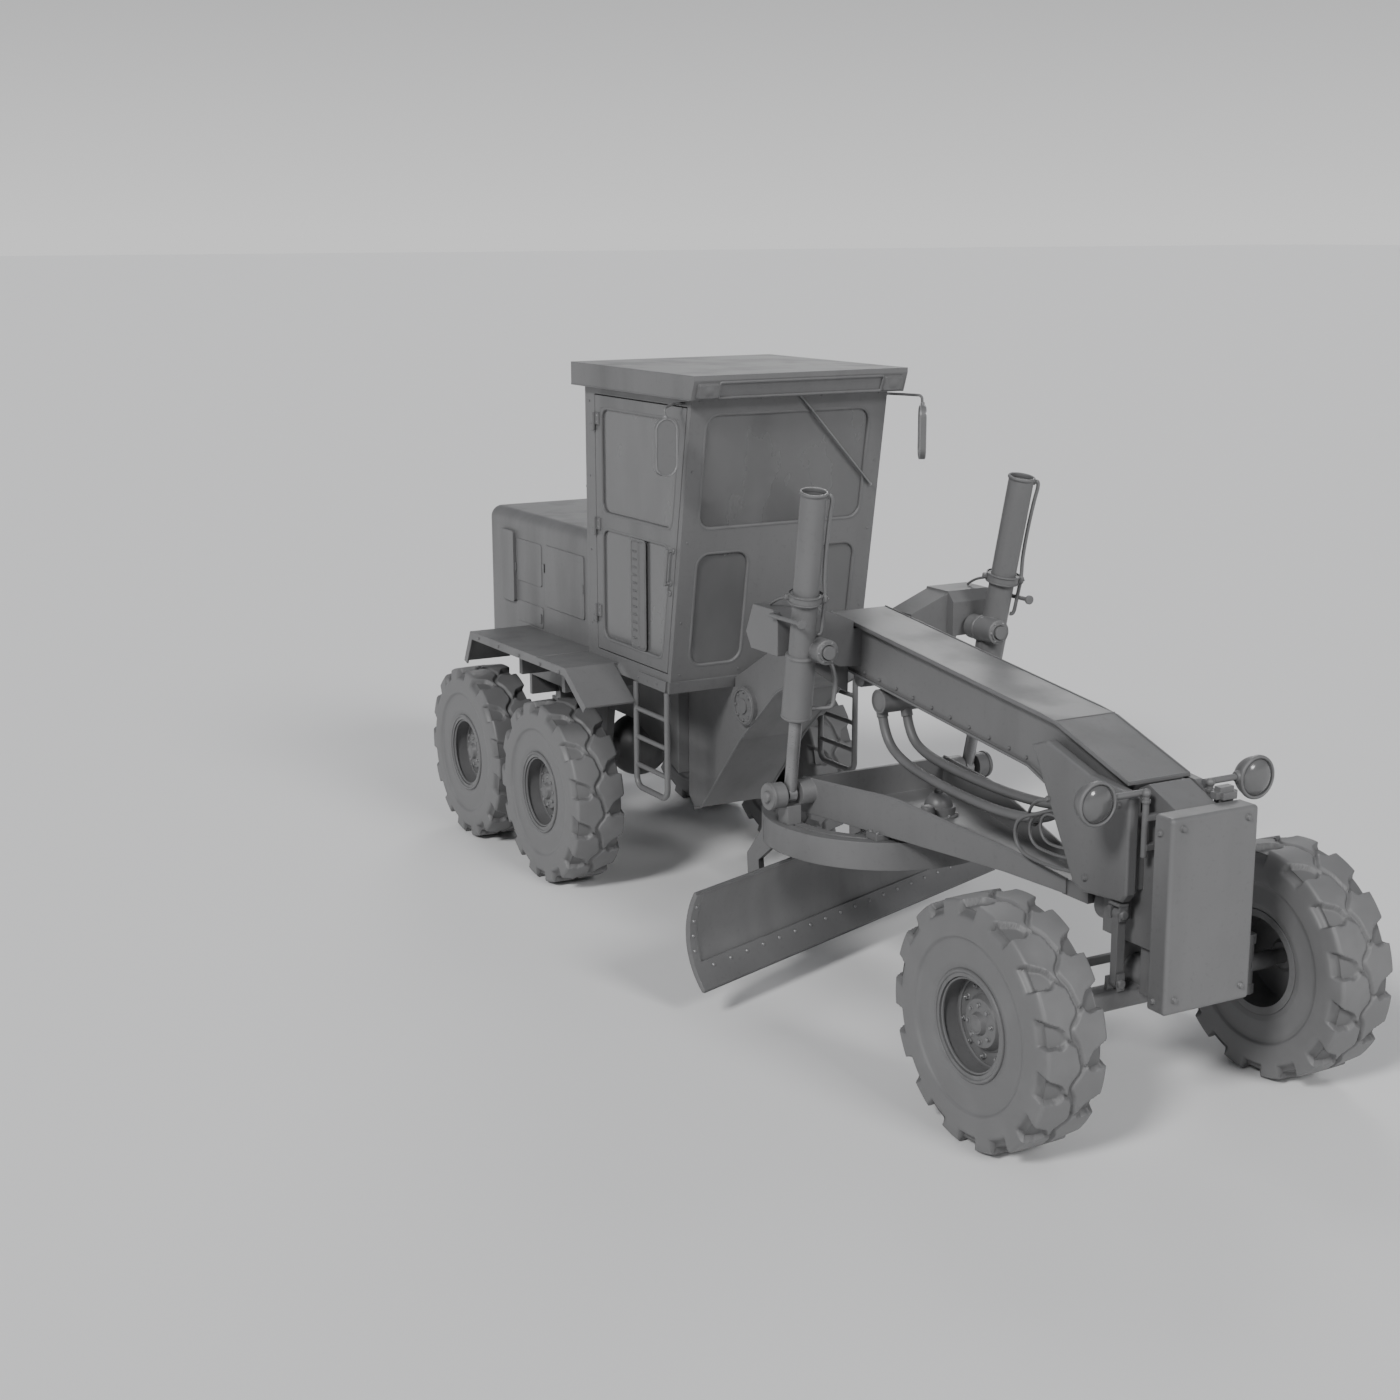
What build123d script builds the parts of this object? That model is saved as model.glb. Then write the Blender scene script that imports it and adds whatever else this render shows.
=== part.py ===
"""Motor grader, 3 m blade, tandem drive, enclosed cab. Millimetres, +X forward, +Y left, +Z up.

The machine stands as it parks: wheels straight, blade carried 180 mm clear of the ground with its right
end forward. Lengths along X are drawn from a datum that save() moves to the middle of the whole machine.
"""
import os
from math import atan2, cos, degrees, hypot, radians, sin, sqrt, tan

from build123d import *

os.makedirs("parts", exist_ok=True)

# Driving dimensions

# Shift of the drawing datum to the middle of the machine's length
datum_shift = -85.0

# Wheels and axles
tyre_r = 630.0
tyre_w = 375.0
wheel_y = 932.0
front_axle_x = 3245.0
tandem_x = -2376.0
tandem_spacing = 1300.0
rim_seat_r = 258.0
rim_flange_r = 284.0
rim_half_w = 165.0
disc_inset = 118.0
wheel_gap = 0.3
spindle_r = 40.0
running_gap = 0.1
hub_bore_r = spindle_r + running_gap

# Front beam: a box girder bent down over the front axle
beam_half_w = 150.0
beam_cap_half_w = 200.0
beam_cap_t = 16.0
beam_foot_half_w = 172.0
beam_foot_t = 14.0
beam_rear_x = 600.0
beam_rear_z = 2165.0
beam_bend_x = 2700.0
beam_bend_z = 1935.0
nose_x = 3290.0
nose_z = 1742.0
beam_depth = 305.0

# Front plate and nose
plate_front_x = 3704.0
plate_t = 120.0
plate_half_w = 276.0
plate_low_z = 670.0
plate_top_z = 1667.0
bolster_half_w = 130.0

# Gooseneck box under the cab
neck_half_w = 250.0

# Lift arms and lift cylinders (right side has negative y)
arm_reach = 765.0
arm_front_x = 880.0
arm_rear_x = 520.0
arm_low_z = 2010.0
arm_top_z = 2275.0
pivot_x = 858.0
pivot_y = 602.0
pivot_z = 2065.0
pivot_ball_r = 58.0
lift_top = (1185.0, 718.0, 2988.0)
lift_foot = (823.0, 641.0, 1160.0)
lift_rod_r = 38.0

# Drawbar, circle and blade
ball_x = 2950.0
ball_z = 1000.0
drawbar_ball_r = 62.0
circle_x = 845.0
circle_r = 728.0
circle_top_z = 986.0
circle_h = 166.0
circle_flange_w = 150.0
blade_yaw = 20.6
blade_half_len = 1520.0
blade_low_z = 180.0
blade_h = 583.0
blade_t = 18.0
blade_offset_n = -182.0
blade_offset_v = 69.0

# Cab
cab_half_w = 715.0
cab_rear_x = -1705.0
cab_low_z = 1510.0
cab_top_z = 3500.0
cab_front_low_x = -535.0
cab_front_slope = 0.164
cab_wall = 40.0
# belt between the upper and the lower lights
belt_drop = 1000.0
belt_z = cab_top_z - belt_drop
roof_half_w = 773.0
roof_rear_x = -1795.0
# how far the roof stands out ahead of the cab front's top
roof_visor = 123.6
roof_front_x = cab_front_low_x + cab_front_slope * (cab_top_z - cab_low_z) + roof_visor
roof_rise = 52.0
roof_top_z = cab_top_z + roof_rise
roof_skirt = 150.0

# Hood
hood_half_w = 650.0
hood_rear_x = -3555.0
hood_low_z = 1440.0
hood_top_z = 2390.0
hood_wall = 30.0

# Rear frame
rail_half_gap = 330.0
rail_low_z = 1050.0
rail_top_z = 1300.0
frame_rear_x = -3560.0

# Hoses from the drum to the nose: columns are x, y, z
hose_r = 29.0
gland_r = 35.0
hose_routes = {
    "hose_right": [
        (1000, -110, 1600), (1035, -110, 1480), (1180, -108, 1385), (1430, -105, 1335), (1760, -100, 1305),
        (2110, -98, 1295), (2420, -95, 1325), (2620, -92, 1400), (2730, -90, 1490),
    ],
    "hose_left": [
        (1050, 30, 1600), (1085, 30, 1490), (1220, 32, 1415), (1470, 35, 1380), (1800, 38, 1362),
        (2130, 40, 1360), (2430, 42, 1385), (2630, 44, 1450), (2730, 45, 1500),
    ],
}

right_left = (("right", -1), ("left", 1))

# Helpers


def save(sub_part, node):
    """Label a finished piece and write it under its node's name."""
    piece = sub_part.part.moved(Location((datum_shift, 0, 0)))
    piece.label = node
    export_step(piece, f"parts/{node}.step")


def side_plane(y=0.0):
    """Vertical plane seen from the right: sketch x is forward, sketch y is up, it faces -Y."""
    return Plane(origin=(0, y, 0), x_dir=(1, 0, 0), z_dir=(0, -1, 0))


def front_plane(x=0.0):
    """Vertical plane facing forward: sketch x is to the left, sketch y is up."""
    return Plane(origin=(x, 0, 0), x_dir=(0, 1, 0), z_dir=(1, 0, 0))


def outline(points):
    """A closed flat face through the given points."""
    with BuildLine() as edge:
        Polyline(*points, close=True)
    return make_face(edge.line)


def front_line_x(z):
    """Outer face of the raked cab front at height z."""
    return cab_front_low_x + cab_front_slope * (z - cab_low_z)


def corner_radii(route):
    """Arc radius at each corner of a hose route: 0.45 of the shorter run over tan(half the turn)."""
    radii = []
    for before, at, after in zip(route, route[1:], route[2:]):
        run_in = Vector(*at) - Vector(*before)
        run_out = Vector(*after) - Vector(*at)
        half_turn = radians(run_in.get_angle(run_out)) / 2
        radii.append(0.45 * min(run_in.length, run_out.length) / tan(half_turn))
    return radii


def gland_face(end, before):
    """Round face that a hose ends on, square to the run between the two given route points."""
    with BuildSketch(Plane(origin=end, z_dir=Vector(*end) - Vector(*before))) as face:
        Circle(gland_r)
    return face.sketch


# Wheels

rear_front_x = tandem_x + tandem_spacing / 2
rear_rear_x = tandem_x - tandem_spacing / 2

# columns: name, axle x, side
wheel_table = [
    (f"{place}_{name}", x, side)
    for place, x in (("front", front_axle_x), ("middle", rear_front_x), ("rear", rear_rear_x))
    for name, side in right_left
]

tyre_half_w = tyre_w / 2
tread_half_w = tyre_half_w - 13
tread_r = tyre_r - 30
# carcass section: columns are radius, distance from the wheel's middle plane
carcass_section = [
    (rim_seat_r, rim_half_w - 8),
    (420, tyre_half_w),
    (tread_r - 14, tread_half_w),
]
lug_count = 14
lug_pitch_deg = 360 / lug_count
# half angle of a lug at its top: the grooves between lugs are V-shaped
lug_top_deg = 7.8


def tread_outline(axle_x, first_deg):
    """Outline of one half of the tread, seen along the axle, with its first lug at the given angle."""
    points = []
    for k in range(lug_count):
        for turn, r in ((-lug_top_deg, tyre_r), (lug_top_deg, tyre_r), (lug_pitch_deg / 2, tread_r)):
            angle = radians(first_deg + k * lug_pitch_deg + turn)
            points.append((axle_x + r * cos(angle), tyre_r + r * sin(angle)))
    return points


for name, x, side in wheel_table:
    middle = Plane(origin=(x, side * wheel_y, tyre_r), x_dir=(1, 0, 0), z_dir=(0, side, 0))
    spin_axis = Axis(middle.origin, middle.z_dir)
    section_plane = Plane(origin=middle.origin, x_dir=(0, 0, 1), z_dir=(-side, 0, 0))
    with BuildPart() as tyre:
        with BuildSketch(section_plane):
            add(outline(carcass_section + [(r, -w) for r, w in reversed(carcass_section)]))
        revolve(axis=spin_axis)
        # each half of the tread is turned so that a corner of a lug meets the ground
        for out in (1, -1):
            with BuildSketch(side_plane(side * wheel_y)):
                add(outline(tread_outline(x, -90 + out * lug_top_deg)))
                with Locations((x, tyre_r)):
                    Circle(tread_r - 30, mode=Mode.SUBTRACT)
            extrude(amount=out * tread_half_w)
    save(tyre, f"tyre_{name}")

    with BuildPart() as rim:
        seat = rim_seat_r - wheel_gap
        flange = rim_flange_r
        with BuildSketch(section_plane):
            add(outline([
                (seat - 14, -rim_half_w - 6), (flange, -rim_half_w - 6), (flange, -rim_half_w),
                (seat, -rim_half_w + 7), (seat, rim_half_w - 7), (flange, rim_half_w),
                (flange, rim_half_w + 6), (seat - 14, rim_half_w + 6),
            ]))
            disc_w = rim_half_w - disc_inset
            add(outline([
                (hub_bore_r, disc_w - 30), (70, disc_w - 30), (90, disc_w - 12), (seat - 8, disc_w - 12),
                (seat - 8, disc_w + 4), (150, disc_w + 4), (122, disc_w + 52), (60, disc_w + 60),
                (48, disc_w + 84), (0, disc_w + 84), (0, disc_w + 20), (hub_bore_r, disc_w + 20),
            ]))
        revolve(axis=spin_axis)
    save(rim, f"rim_{name}")

# Front axle: beam, leaning yokes, steered knuckles

axle_z = 615.0
axle_half = 58.0
lean_y = 600.0
lean_pin_r = 24.0
king_y = 690.0
king_r = 26.0
king_top_z = 800.0
king_low_z = 470.0
ear_t = 55.0
knuckle_low_z = king_low_z + ear_t + running_gap
knuckle_top_z = king_top_z - ear_t - running_gap
lean_bar_x = 3120.0
lean_bar_y = lean_y
lean_bar_z = 770.0
lean_bar_pin_r = 15.0
oscillation_z = 705.0
oscillation_r = 45.0
rod_x = 3015.0
rod_y = king_y
rod_z = 492.0
rod_r = 22.0
rod_ball_r = 20.0
rod_drift = 8.0
link_y = 230.0
link_x = front_axle_x + 45
link_low_z = 715.0
link_top_z = 1075.0
link_pin_r = 16.0

with BuildPart() as front_axle:
    with BuildSketch(side_plane(lean_y - 70)):
        with Locations((front_axle_x, axle_z)):
            RectangleRounded(2 * axle_half, 2 * axle_half - 8, 20)
    extrude(amount=2 * (lean_y - 70))
    for name, side in right_left:
        # fork that carries the leaning yoke, with its pin
        for cheek_x in (front_axle_x - axle_half, front_axle_x + axle_half - 22):
            with BuildSketch(front_plane(cheek_x)):
                add(outline([
                    (side * (lean_y - 130), axle_z - 50), (side * (lean_y - 130), axle_z + 50),
                    (side * lean_y, axle_z + 42), (side * (lean_y + 40), axle_z),
                    (side * lean_y, axle_z - 42),
                ]))
            extrude(amount=22)
        with BuildSketch(front_plane(front_axle_x - axle_half - 12)):
            with Locations((side * lean_y, axle_z)):
                Circle(lean_pin_r)
        extrude(amount=2 * axle_half + 24)
        # lug and pin for the stay link
        with BuildSketch(front_plane(link_x - 40)):
            add(outline([
                (side * (link_y - 40), axle_z), (side * (link_y - 34), link_low_z + 24),
                (side * (link_y + 34), link_low_z + 24), (side * (link_y + 40), axle_z),
            ]))
        extrude(amount=24)
        with BuildSketch(front_plane(link_x - 40)):
            with Locations((side * link_y, link_low_z)):
                Circle(link_pin_r)
        extrude(amount=76)
    with BuildSketch(front_plane(front_axle_x - 75)):
        with Locations((0, oscillation_z)):
            Circle(86)
    extrude(amount=150)
    with BuildSketch(front_plane(front_axle_x - 80)):
        with Locations((0, oscillation_z)):
            Circle(oscillation_r + running_gap)
    extrude(amount=160, mode=Mode.SUBTRACT)
save(front_axle, "front_axle")

with BuildPart() as stay_links:
    for name, side in right_left:
        with BuildSketch(front_plane(link_x - 15)):
            with BuildLine():
                Polyline(
                    (side * (link_y - 26), link_low_z), (side * (link_y - 26), link_top_z),
                    (side * (link_y + 26), link_top_z), (side * (link_y + 26), link_low_z), close=True,
                )
            make_face()
            for z in (link_low_z, link_top_z):
                with Locations((side * link_y, z)):
                    Circle(30)
            for z in (link_low_z, link_top_z):
                with Locations((side * link_y, z)):
                    Circle(link_pin_r + running_gap, mode=Mode.SUBTRACT)
        extrude(amount=46)
save(stay_links, "stay_links")

for name, side in right_left:
    # yoke that leans on the axle end and holds the king pin
    with BuildPart() as yoke:
        with BuildSketch(front_plane(front_axle_x - 33)):
            add(outline([
                (side * (lean_y - 34), axle_z - 26), (side * (lean_y - 34), axle_z + 36),
                (side * (lean_y - 30), king_top_z), (side * (king_y + 36), king_top_z),
                (side * (king_y + 36), king_top_z - ear_t), (side * (lean_y + 38), king_top_z - ear_t),
                (side * (lean_y + 38), axle_z - 30), (side * (lean_y + 8), axle_z - 42),
                (side * (lean_y + 8), king_low_z + ear_t),
                (side * (king_y + 36), king_low_z + ear_t), (side * (king_y + 36), king_low_z),
                (side * (lean_y + 10), king_low_z),
            ]))
        extrude(amount=66)
        for z in (king_low_z, king_top_z - ear_t):
            with BuildSketch(Plane.XY.offset(z)):
                with Locations((front_axle_x, side * king_y)):
                    Circle(42)
            extrude(amount=ear_t)
        with BuildSketch(Plane.XY.offset(king_low_z)):
            with Locations((front_axle_x, side * king_y)):
                Circle(king_r)
        extrude(amount=king_top_z - king_low_z)
        with BuildSketch(front_plane(front_axle_x - 30)):
            with Locations((side * lean_bar_y, lean_bar_z)):
                Circle(lean_bar_pin_r)
        extrude(amount=lean_bar_x - 18 - front_axle_x + 30)
        with BuildSketch(front_plane(front_axle_x - 75)):
            with Locations((side * lean_y, axle_z)):
                Circle(lean_pin_r + running_gap)
        extrude(amount=150, mode=Mode.SUBTRACT)
    save(yoke, f"yoke_{name}")

    # knuckle with its wheel spindle and steering arm
    spindle = Plane(origin=(front_axle_x, side * king_y, tyre_r), x_dir=(1, 0, 0), z_dir=(0, side, 0))
    with BuildPart() as knuckle:
        with BuildSketch(Plane.XY.offset(knuckle_low_z)):
            with Locations((front_axle_x, side * king_y)):
                Circle(40)
        extrude(amount=knuckle_top_z - knuckle_low_z)
        with BuildSketch(spindle):
            Circle(48)
        extrude(amount=170)
        with BuildSketch(spindle):
            Circle(spindle_r)
        extrude(amount=wheel_y + rim_half_w - disc_inset + 12 - king_y)
        with BuildSketch(Plane.XY.offset(knuckle_low_z)):
            add(outline([
                (front_axle_x - 10, side * (king_y - 38)), (front_axle_x - 10, side * (king_y + 30)),
                (rod_x - 24, side * (rod_y + 24)), (rod_x - 24, side * (rod_y - 24)),
            ]))
        extrude(amount=30)
        if name == "left":
            with BuildSketch(Plane.XY.offset(rod_z)):
                with Locations((rod_x, side * rod_y)):
                    Circle(11)
            extrude(amount=knuckle_low_z + 5 - rod_z)
            with Locations((rod_x, side * rod_y, rod_z)):
                Sphere(rod_ball_r)
        with BuildSketch(Plane.XY.offset(knuckle_low_z - 10)):
            with Locations((front_axle_x, side * king_y)):
                Circle(king_r + running_gap)
        extrude(amount=knuckle_top_z - knuckle_low_z + 20, mode=Mode.SUBTRACT)
    save(knuckle, f"knuckle_{name}")

# ball stud under the right steering arm, which turns in the arm
with BuildPart() as tie_rod_stud:
    with BuildSketch(Plane.XY.offset(rod_z)):
        with Locations((rod_x, -rod_y)):
            Circle(11)
    extrude(amount=knuckle_low_z - running_gap - rod_z)
    with Locations((rod_x, -rod_y, rod_z)):
        Sphere(rod_ball_r)
save(tie_rod_stud, "tie_rod_stud")

with BuildPart() as tie_rod:
    with BuildSketch(side_plane(rod_y - 24)):
        with Locations((rod_x, rod_z)):
            Circle(rod_r)
    extrude(amount=2 * (rod_y - 24))
    for name, side in right_left:
        with BuildSketch(Plane.XY.offset(rod_z - 30)):
            with Locations((rod_x, side * rod_y)):
                Circle(36)
        extrude(amount=48)
    with Locations((rod_x, -rod_y, rod_z)):
        Sphere(rod_ball_r + running_gap, mode=Mode.SUBTRACT)
    # the right eye is open above for its stud, the left eye right through with room for its drift
    for side, start, radius in ((-1, rod_z, 17), (1, rod_z - 40, rod_ball_r + rod_drift)):
        with BuildSketch(Plane.XY.offset(start)):
            with Locations((rod_x, side * rod_y)):
                Circle(radius)
        extrude(amount=80, mode=Mode.SUBTRACT)
save(tie_rod, "tie_rod")

with BuildPart() as lean_bar:
    with BuildSketch(front_plane(lean_bar_x - 12)):
        with Locations((0, lean_bar_z)):
            Rectangle(2 * lean_bar_y, 44)
        for name, side in right_left:
            with Locations((side * lean_bar_y, lean_bar_z)):
                Circle(30)
        for name, side in right_left:
            with Locations((side * lean_bar_y, lean_bar_z)):
                Circle(lean_bar_pin_r + running_gap, mode=Mode.SUBTRACT)
    extrude(amount=24)
save(lean_bar, "lean_bar")

# Front beam and nose

slope = (beam_bend_z - beam_rear_z) / (beam_bend_x - beam_rear_x)
bend_low_x = beam_bend_x - 250


def beam_top_z(x):
    """Height of the beam's top along its straight rear part."""
    return beam_rear_z + slope * (x - beam_rear_x)


def beam_low_z(x):
    """Height of the beam's underside along its straight rear part."""
    start, end = beam_top_z(beam_rear_x) - beam_depth, beam_top_z(bend_low_x) - beam_depth - 10
    part_way = (x - beam_rear_x + 40) / (bend_low_x - beam_rear_x + 40)
    return start + (end - start) * part_way - beam_foot_t


top_line = [(beam_rear_x - 40, beam_top_z(beam_rear_x - 40)), (beam_bend_x, beam_bend_z), (nose_x, nose_z)]
low_line = [
    (nose_x - 230, nose_z - 330), (bend_low_x, beam_top_z(bend_low_x) - beam_depth - 10),
    (beam_rear_x - 40, beam_top_z(beam_rear_x) - beam_depth),
]

with BuildPart() as front_beam:
    with BuildSketch(side_plane()):
        add(outline([(x, z - beam_cap_t) for x, z in top_line] + low_line))
    extrude(amount=beam_half_w, both=True)
    with BuildSketch(side_plane()):
        add(outline(top_line + [(x, z - beam_cap_t) for x, z in reversed(top_line)]))
    extrude(amount=beam_cap_half_w, both=True)
    with BuildSketch(side_plane()):
        add(outline(low_line + [(x, z - beam_foot_t) for x, z in reversed(low_line)]))
    extrude(amount=beam_foot_half_w, both=True)
    for route in hose_routes.values():
        extrude(gland_face(route[-1], route[-2]), amount=90)
save(front_beam, "front_beam")

plate_rear_x = plate_front_x - plate_t
bolster_rear_x = nose_x - 230
bolster_low_z = 900.0
hanger_half_w = 100.0

with BuildPart() as nose_bolster:
    with BuildSketch(side_plane()):
        add(outline([
            (bolster_rear_x, bolster_low_z), (bolster_rear_x, nose_z - 330 - beam_foot_t),
            (nose_x, nose_z - 330 + 0.4 * 230), (nose_x, nose_z - beam_cap_t - 20), (nose_x + 70, nose_z),
            (plate_rear_x, plate_top_z - 20), (plate_rear_x, bolster_low_z - 180),
            (plate_rear_x - 40, bolster_low_z - 220), (plate_rear_x - 40, bolster_low_z),
        ]))
    extrude(amount=bolster_half_w, both=True)
    with BuildSketch(side_plane()):
        with BuildLine():
            Polyline(
                (front_axle_x - 103, 640), (front_axle_x - 103, bolster_low_z + 20),
                (front_axle_x - 77, bolster_low_z + 20), (front_axle_x - 77, 640), close=True,
            )
        make_face()
        with BuildLine():
            Polyline(
                (front_axle_x + 77, 640), (front_axle_x + 77, bolster_low_z + 20),
                (plate_rear_x - 20, bolster_low_z + 20), (plate_rear_x - 20, 640), close=True,
            )
        make_face()
    extrude(amount=hanger_half_w, both=True)
    with BuildSketch(front_plane(front_axle_x - 103)):
        with Locations((0, oscillation_z)):
            Circle(oscillation_r)
    extrude(amount=200)
    # socket for the drawbar ball
    with BuildSketch(Plane.YZ.offset(ball_x - 10)):
        with Locations((0, ball_z)):
            Circle(92)
    extrude(amount=bolster_rear_x - ball_x + 20)
    with Locations((ball_x, 0, ball_z)):
        Sphere(drawbar_ball_r + running_gap, mode=Mode.SUBTRACT)
    # lugs for the stay links
    for name, side in right_left:
        with BuildSketch(front_plane(link_x - 45)):
            with BuildLine():
                Polyline(
                    (side * (bolster_half_w - 10), 1020), (side * (bolster_half_w - 10), 1140),
                    (side * (link_y + 34), 1110), (side * (link_y + 34), 1050), close=True,
                )
            make_face()
        extrude(amount=24)
        with BuildSketch(front_plane(link_x - 45)):
            with Locations((side * link_y, link_top_z)):
                Circle(link_pin_r)
        extrude(amount=86)
save(nose_bolster, "nose_bolster")

with BuildPart() as front_plate:
    with BuildSketch(front_plane(plate_rear_x)):
        with Locations((0, (plate_low_z + plate_top_z) / 2)):
            RectangleRounded(2 * plate_half_w, plate_top_z - plate_low_z, 22)
    extrude(amount=plate_t)
    fillet(front_plate.faces().sort_by(Axis.X)[-1].edges(), 20)
save(front_plate, "front_plate")

cover_out_y = 262.0
cover_t = 60.0
# pads that hold the covers off the bolster
pad_x = 3288.0
pad_z = 1400.0
pad_w = 125.0
pad_h = 400.0
# side covers of the nose: columns are x, z
cover_outline = [
    (2600, 1800), (2720, 1843), (3060, 1740), (3320, 1715), (3376, 1684), (3376, 1190), (3340, 1146),
    (3040, 1120), (2960, 1150),
]
# thinner plate behind each cover, a little smaller
backing_outline = [
    (2625, 1786), (2722, 1826), (3056, 1726), (3312, 1702), (3362, 1676), (3362, 1198), (3330, 1160),
    (3046, 1134), (2978, 1160),
]
with BuildPart() as side_covers:
    for name, side in right_left:
        with BuildSketch(side_plane(side * cover_out_y)):
            add(outline(cover_outline))
        extrude(amount=side * cover_t)
    outer_faces = side_covers.faces().filter_by(Axis.Y).sort_by(Axis.Y)
    fillet((outer_faces[0].edges() + outer_faces[-1].edges()), 16)
    for name, side in right_left:
        with BuildSketch(side_plane(side * (cover_out_y - cover_t))):
            with Locations((pad_x, pad_z)):
                Rectangle(pad_w, pad_h)
        extrude(amount=side * (cover_out_y - cover_t - bolster_half_w))
        with BuildSketch(side_plane(side * (cover_out_y - cover_t - 4))):
            add(outline(backing_outline))
        extrude(amount=side * 20)
save(side_covers, "side_covers")

# Gooseneck box, lift arms and the parts hung on the beam

# columns are x, z
neck_outline = [
    (-1130, 640), (-1045, 563), (-960, 590), (-438, 1171), (12, 1570), (560, 1842),
    (560, 2150), (510, 2150), (-500, 1575), (-500, cab_low_z), (-1130, cab_low_z),
]
with BuildPart() as gooseneck:
    with BuildSketch(side_plane()):
        add(outline(neck_outline))
    extrude(amount=neck_half_w, both=True)
    for name, side in right_left:
        # round inspection cover on the flank: columns are radius, how far it stands out
        for radius, out in ((125, 34), (48, 46)):
            with BuildSketch(side_plane(side * neck_half_w)):
                with Locations((-336, 1420)):
                    Circle(radius)
            extrude(amount=-side * out)
save(gooseneck, "gooseneck")

head_in_y = 470.0
arm_seat_z = beam_top_z(arm_front_x) - beam_cap_t - 8
with BuildPart() as lift_arms:
    for name, side in right_left:
        # chamfered head that holds the cylinder's ball
        with BuildSketch(side_plane(side * arm_reach)):
            add(outline([
                (arm_rear_x, arm_low_z + 90), (arm_rear_x + 80, arm_top_z), (arm_front_x - 60, arm_top_z),
                (arm_front_x, arm_top_z - 60), (arm_front_x, arm_low_z), (arm_rear_x + 60, arm_low_z),
            ]))
        extrude(amount=side * (arm_reach - head_in_y))
        # arm that slopes up to the head from its seat on the beam's side, below the cap
        with BuildSketch(front_plane(arm_rear_x + 80)):
            add(outline([
                (side * beam_half_w, 1880), (side * beam_half_w, arm_seat_z), (side * 206, arm_seat_z),
                (side * 206, arm_seat_z + 45), (side * head_in_y, arm_top_z - 12),
                (side * (arm_reach - 60), arm_top_z - 12), (side * (arm_reach - 60), arm_low_z),
                (side * 520, arm_low_z), (side * 300, 1890),
            ]))
        extrude(amount=220)
        # gusset fin under the arm
        with BuildSketch(front_plane(arm_rear_x + 175)):
            add(outline([
                (side * 175, 1700), (side * 175, 1900), (side * 560, arm_low_z + 5),
                (side * 650, arm_low_z + 5),
            ]))
        extrude(amount=24)
        # lock pin with its disc, above the cylinder's outer side
        with BuildSketch(front_plane(arm_front_x - 30)):
            with Locations((side * (arm_reach + 30), 2250)):
                Circle(13)
            with BuildLine():
                Polyline(
                    (side * (arm_reach - 20), 2236), (side * (arm_reach - 20), 2264),
                    (side * (arm_reach + 30), 2264), (side * (arm_reach + 30), 2236), close=True,
                )
            make_face()
        extrude(amount=20)
        with BuildSketch(front_plane(arm_front_x - 20)):
            with Locations((side * (arm_reach + 30), 2250)):
                Circle(13)
        extrude(amount=330)
        with BuildSketch(front_plane(arm_front_x + 305)):
            with Locations((side * (arm_reach + 30), 2250)):
                Circle(27)
        extrude(amount=14)
        with Locations((pivot_x, side * pivot_y, pivot_z)):
            Sphere(pivot_ball_r + running_gap, mode=Mode.SUBTRACT)
save(lift_arms, "lift_arms")

drum_x = 1010.0
drum_z = 1700.0
drum_r = 72.0
with BuildPart() as hose_drum:
    with BuildSketch(side_plane(-150)):
        with Locations((drum_x, drum_z)):
            Circle(drum_r)
    extrude(amount=-300)
    with BuildSketch(side_plane()):
        add(outline([
            (drum_x - 45, drum_z), (drum_x - 45, beam_low_z(drum_x - 45)),
            (drum_x + 45, beam_low_z(drum_x + 45)), (drum_x + 45, drum_z),
        ]))
    extrude(amount=60, both=True)
    for route in hose_routes.values():
        extrude(gland_face(route[0], route[1]), amount=60)
save(hose_drum, "hose_drum")

lamp_x = 3385.0
lamp_y = 512.0
lamp_z = 1711.0
lamp_r = 110.0
post_x = 3430.0
post_y = 205.0
with BuildPart() as headlamps:
    for name, side in right_left:
        with BuildSketch(Plane.XY.offset(1400)):
            with Locations((post_x, side * post_y)):
                Circle(17)
        extrude(amount=325)
        with Locations((post_x, side * post_y, 1724)):
            Sphere(24)
        with BuildSketch(side_plane(side * (post_y - 20))):
            with Locations((post_x - 25, 1722)):
                Circle(17)
        extrude(amount=-side * (lamp_y - post_y - 60))
        with BuildSketch(side_plane(side * bolster_half_w)):
            with Locations((post_x, 1450), (post_x, 1600)):
                Rectangle(40, 30)
        extrude(amount=-side * 75)
        rim_middle = (lamp_x + 45, side * lamp_y, lamp_z)
        with BuildSketch(Plane(origin=rim_middle, x_dir=(1, 0, 0), z_dir=(0, -1, 0))):
            with BuildLine():
                arc = ThreePointArc((0, lamp_r), (-96, 62), (-128, 0))
                Polyline(arc @ 1, (0, 0), arc @ 0)
            make_face()
        revolve(axis=Axis(rim_middle, (1, 0, 0)))
save(headlamps, "headlamps")

# Lift cylinders

lift_vec = [lift_top[i] - lift_foot[i] for i in range(3)]
lift_len = hypot(*lift_vec)
barrel_r = 88.0
tube_r = 75.0
rod_stroke_gap = 0.05
# how far the rod reaches into the barrel at rest: more than its lowest stroke
rod_in_barrel = 640.0
rod_eye_r = 46.0
rod_eye_half_w = 26.0
rod_pin_r = 18.0
# room that the open eye has to drift on its pin, and the rod in its slot
rod_play = 12.0
barrel_low = 500.0
barrel_high = 880.0
collar_at = 1240.0

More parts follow.
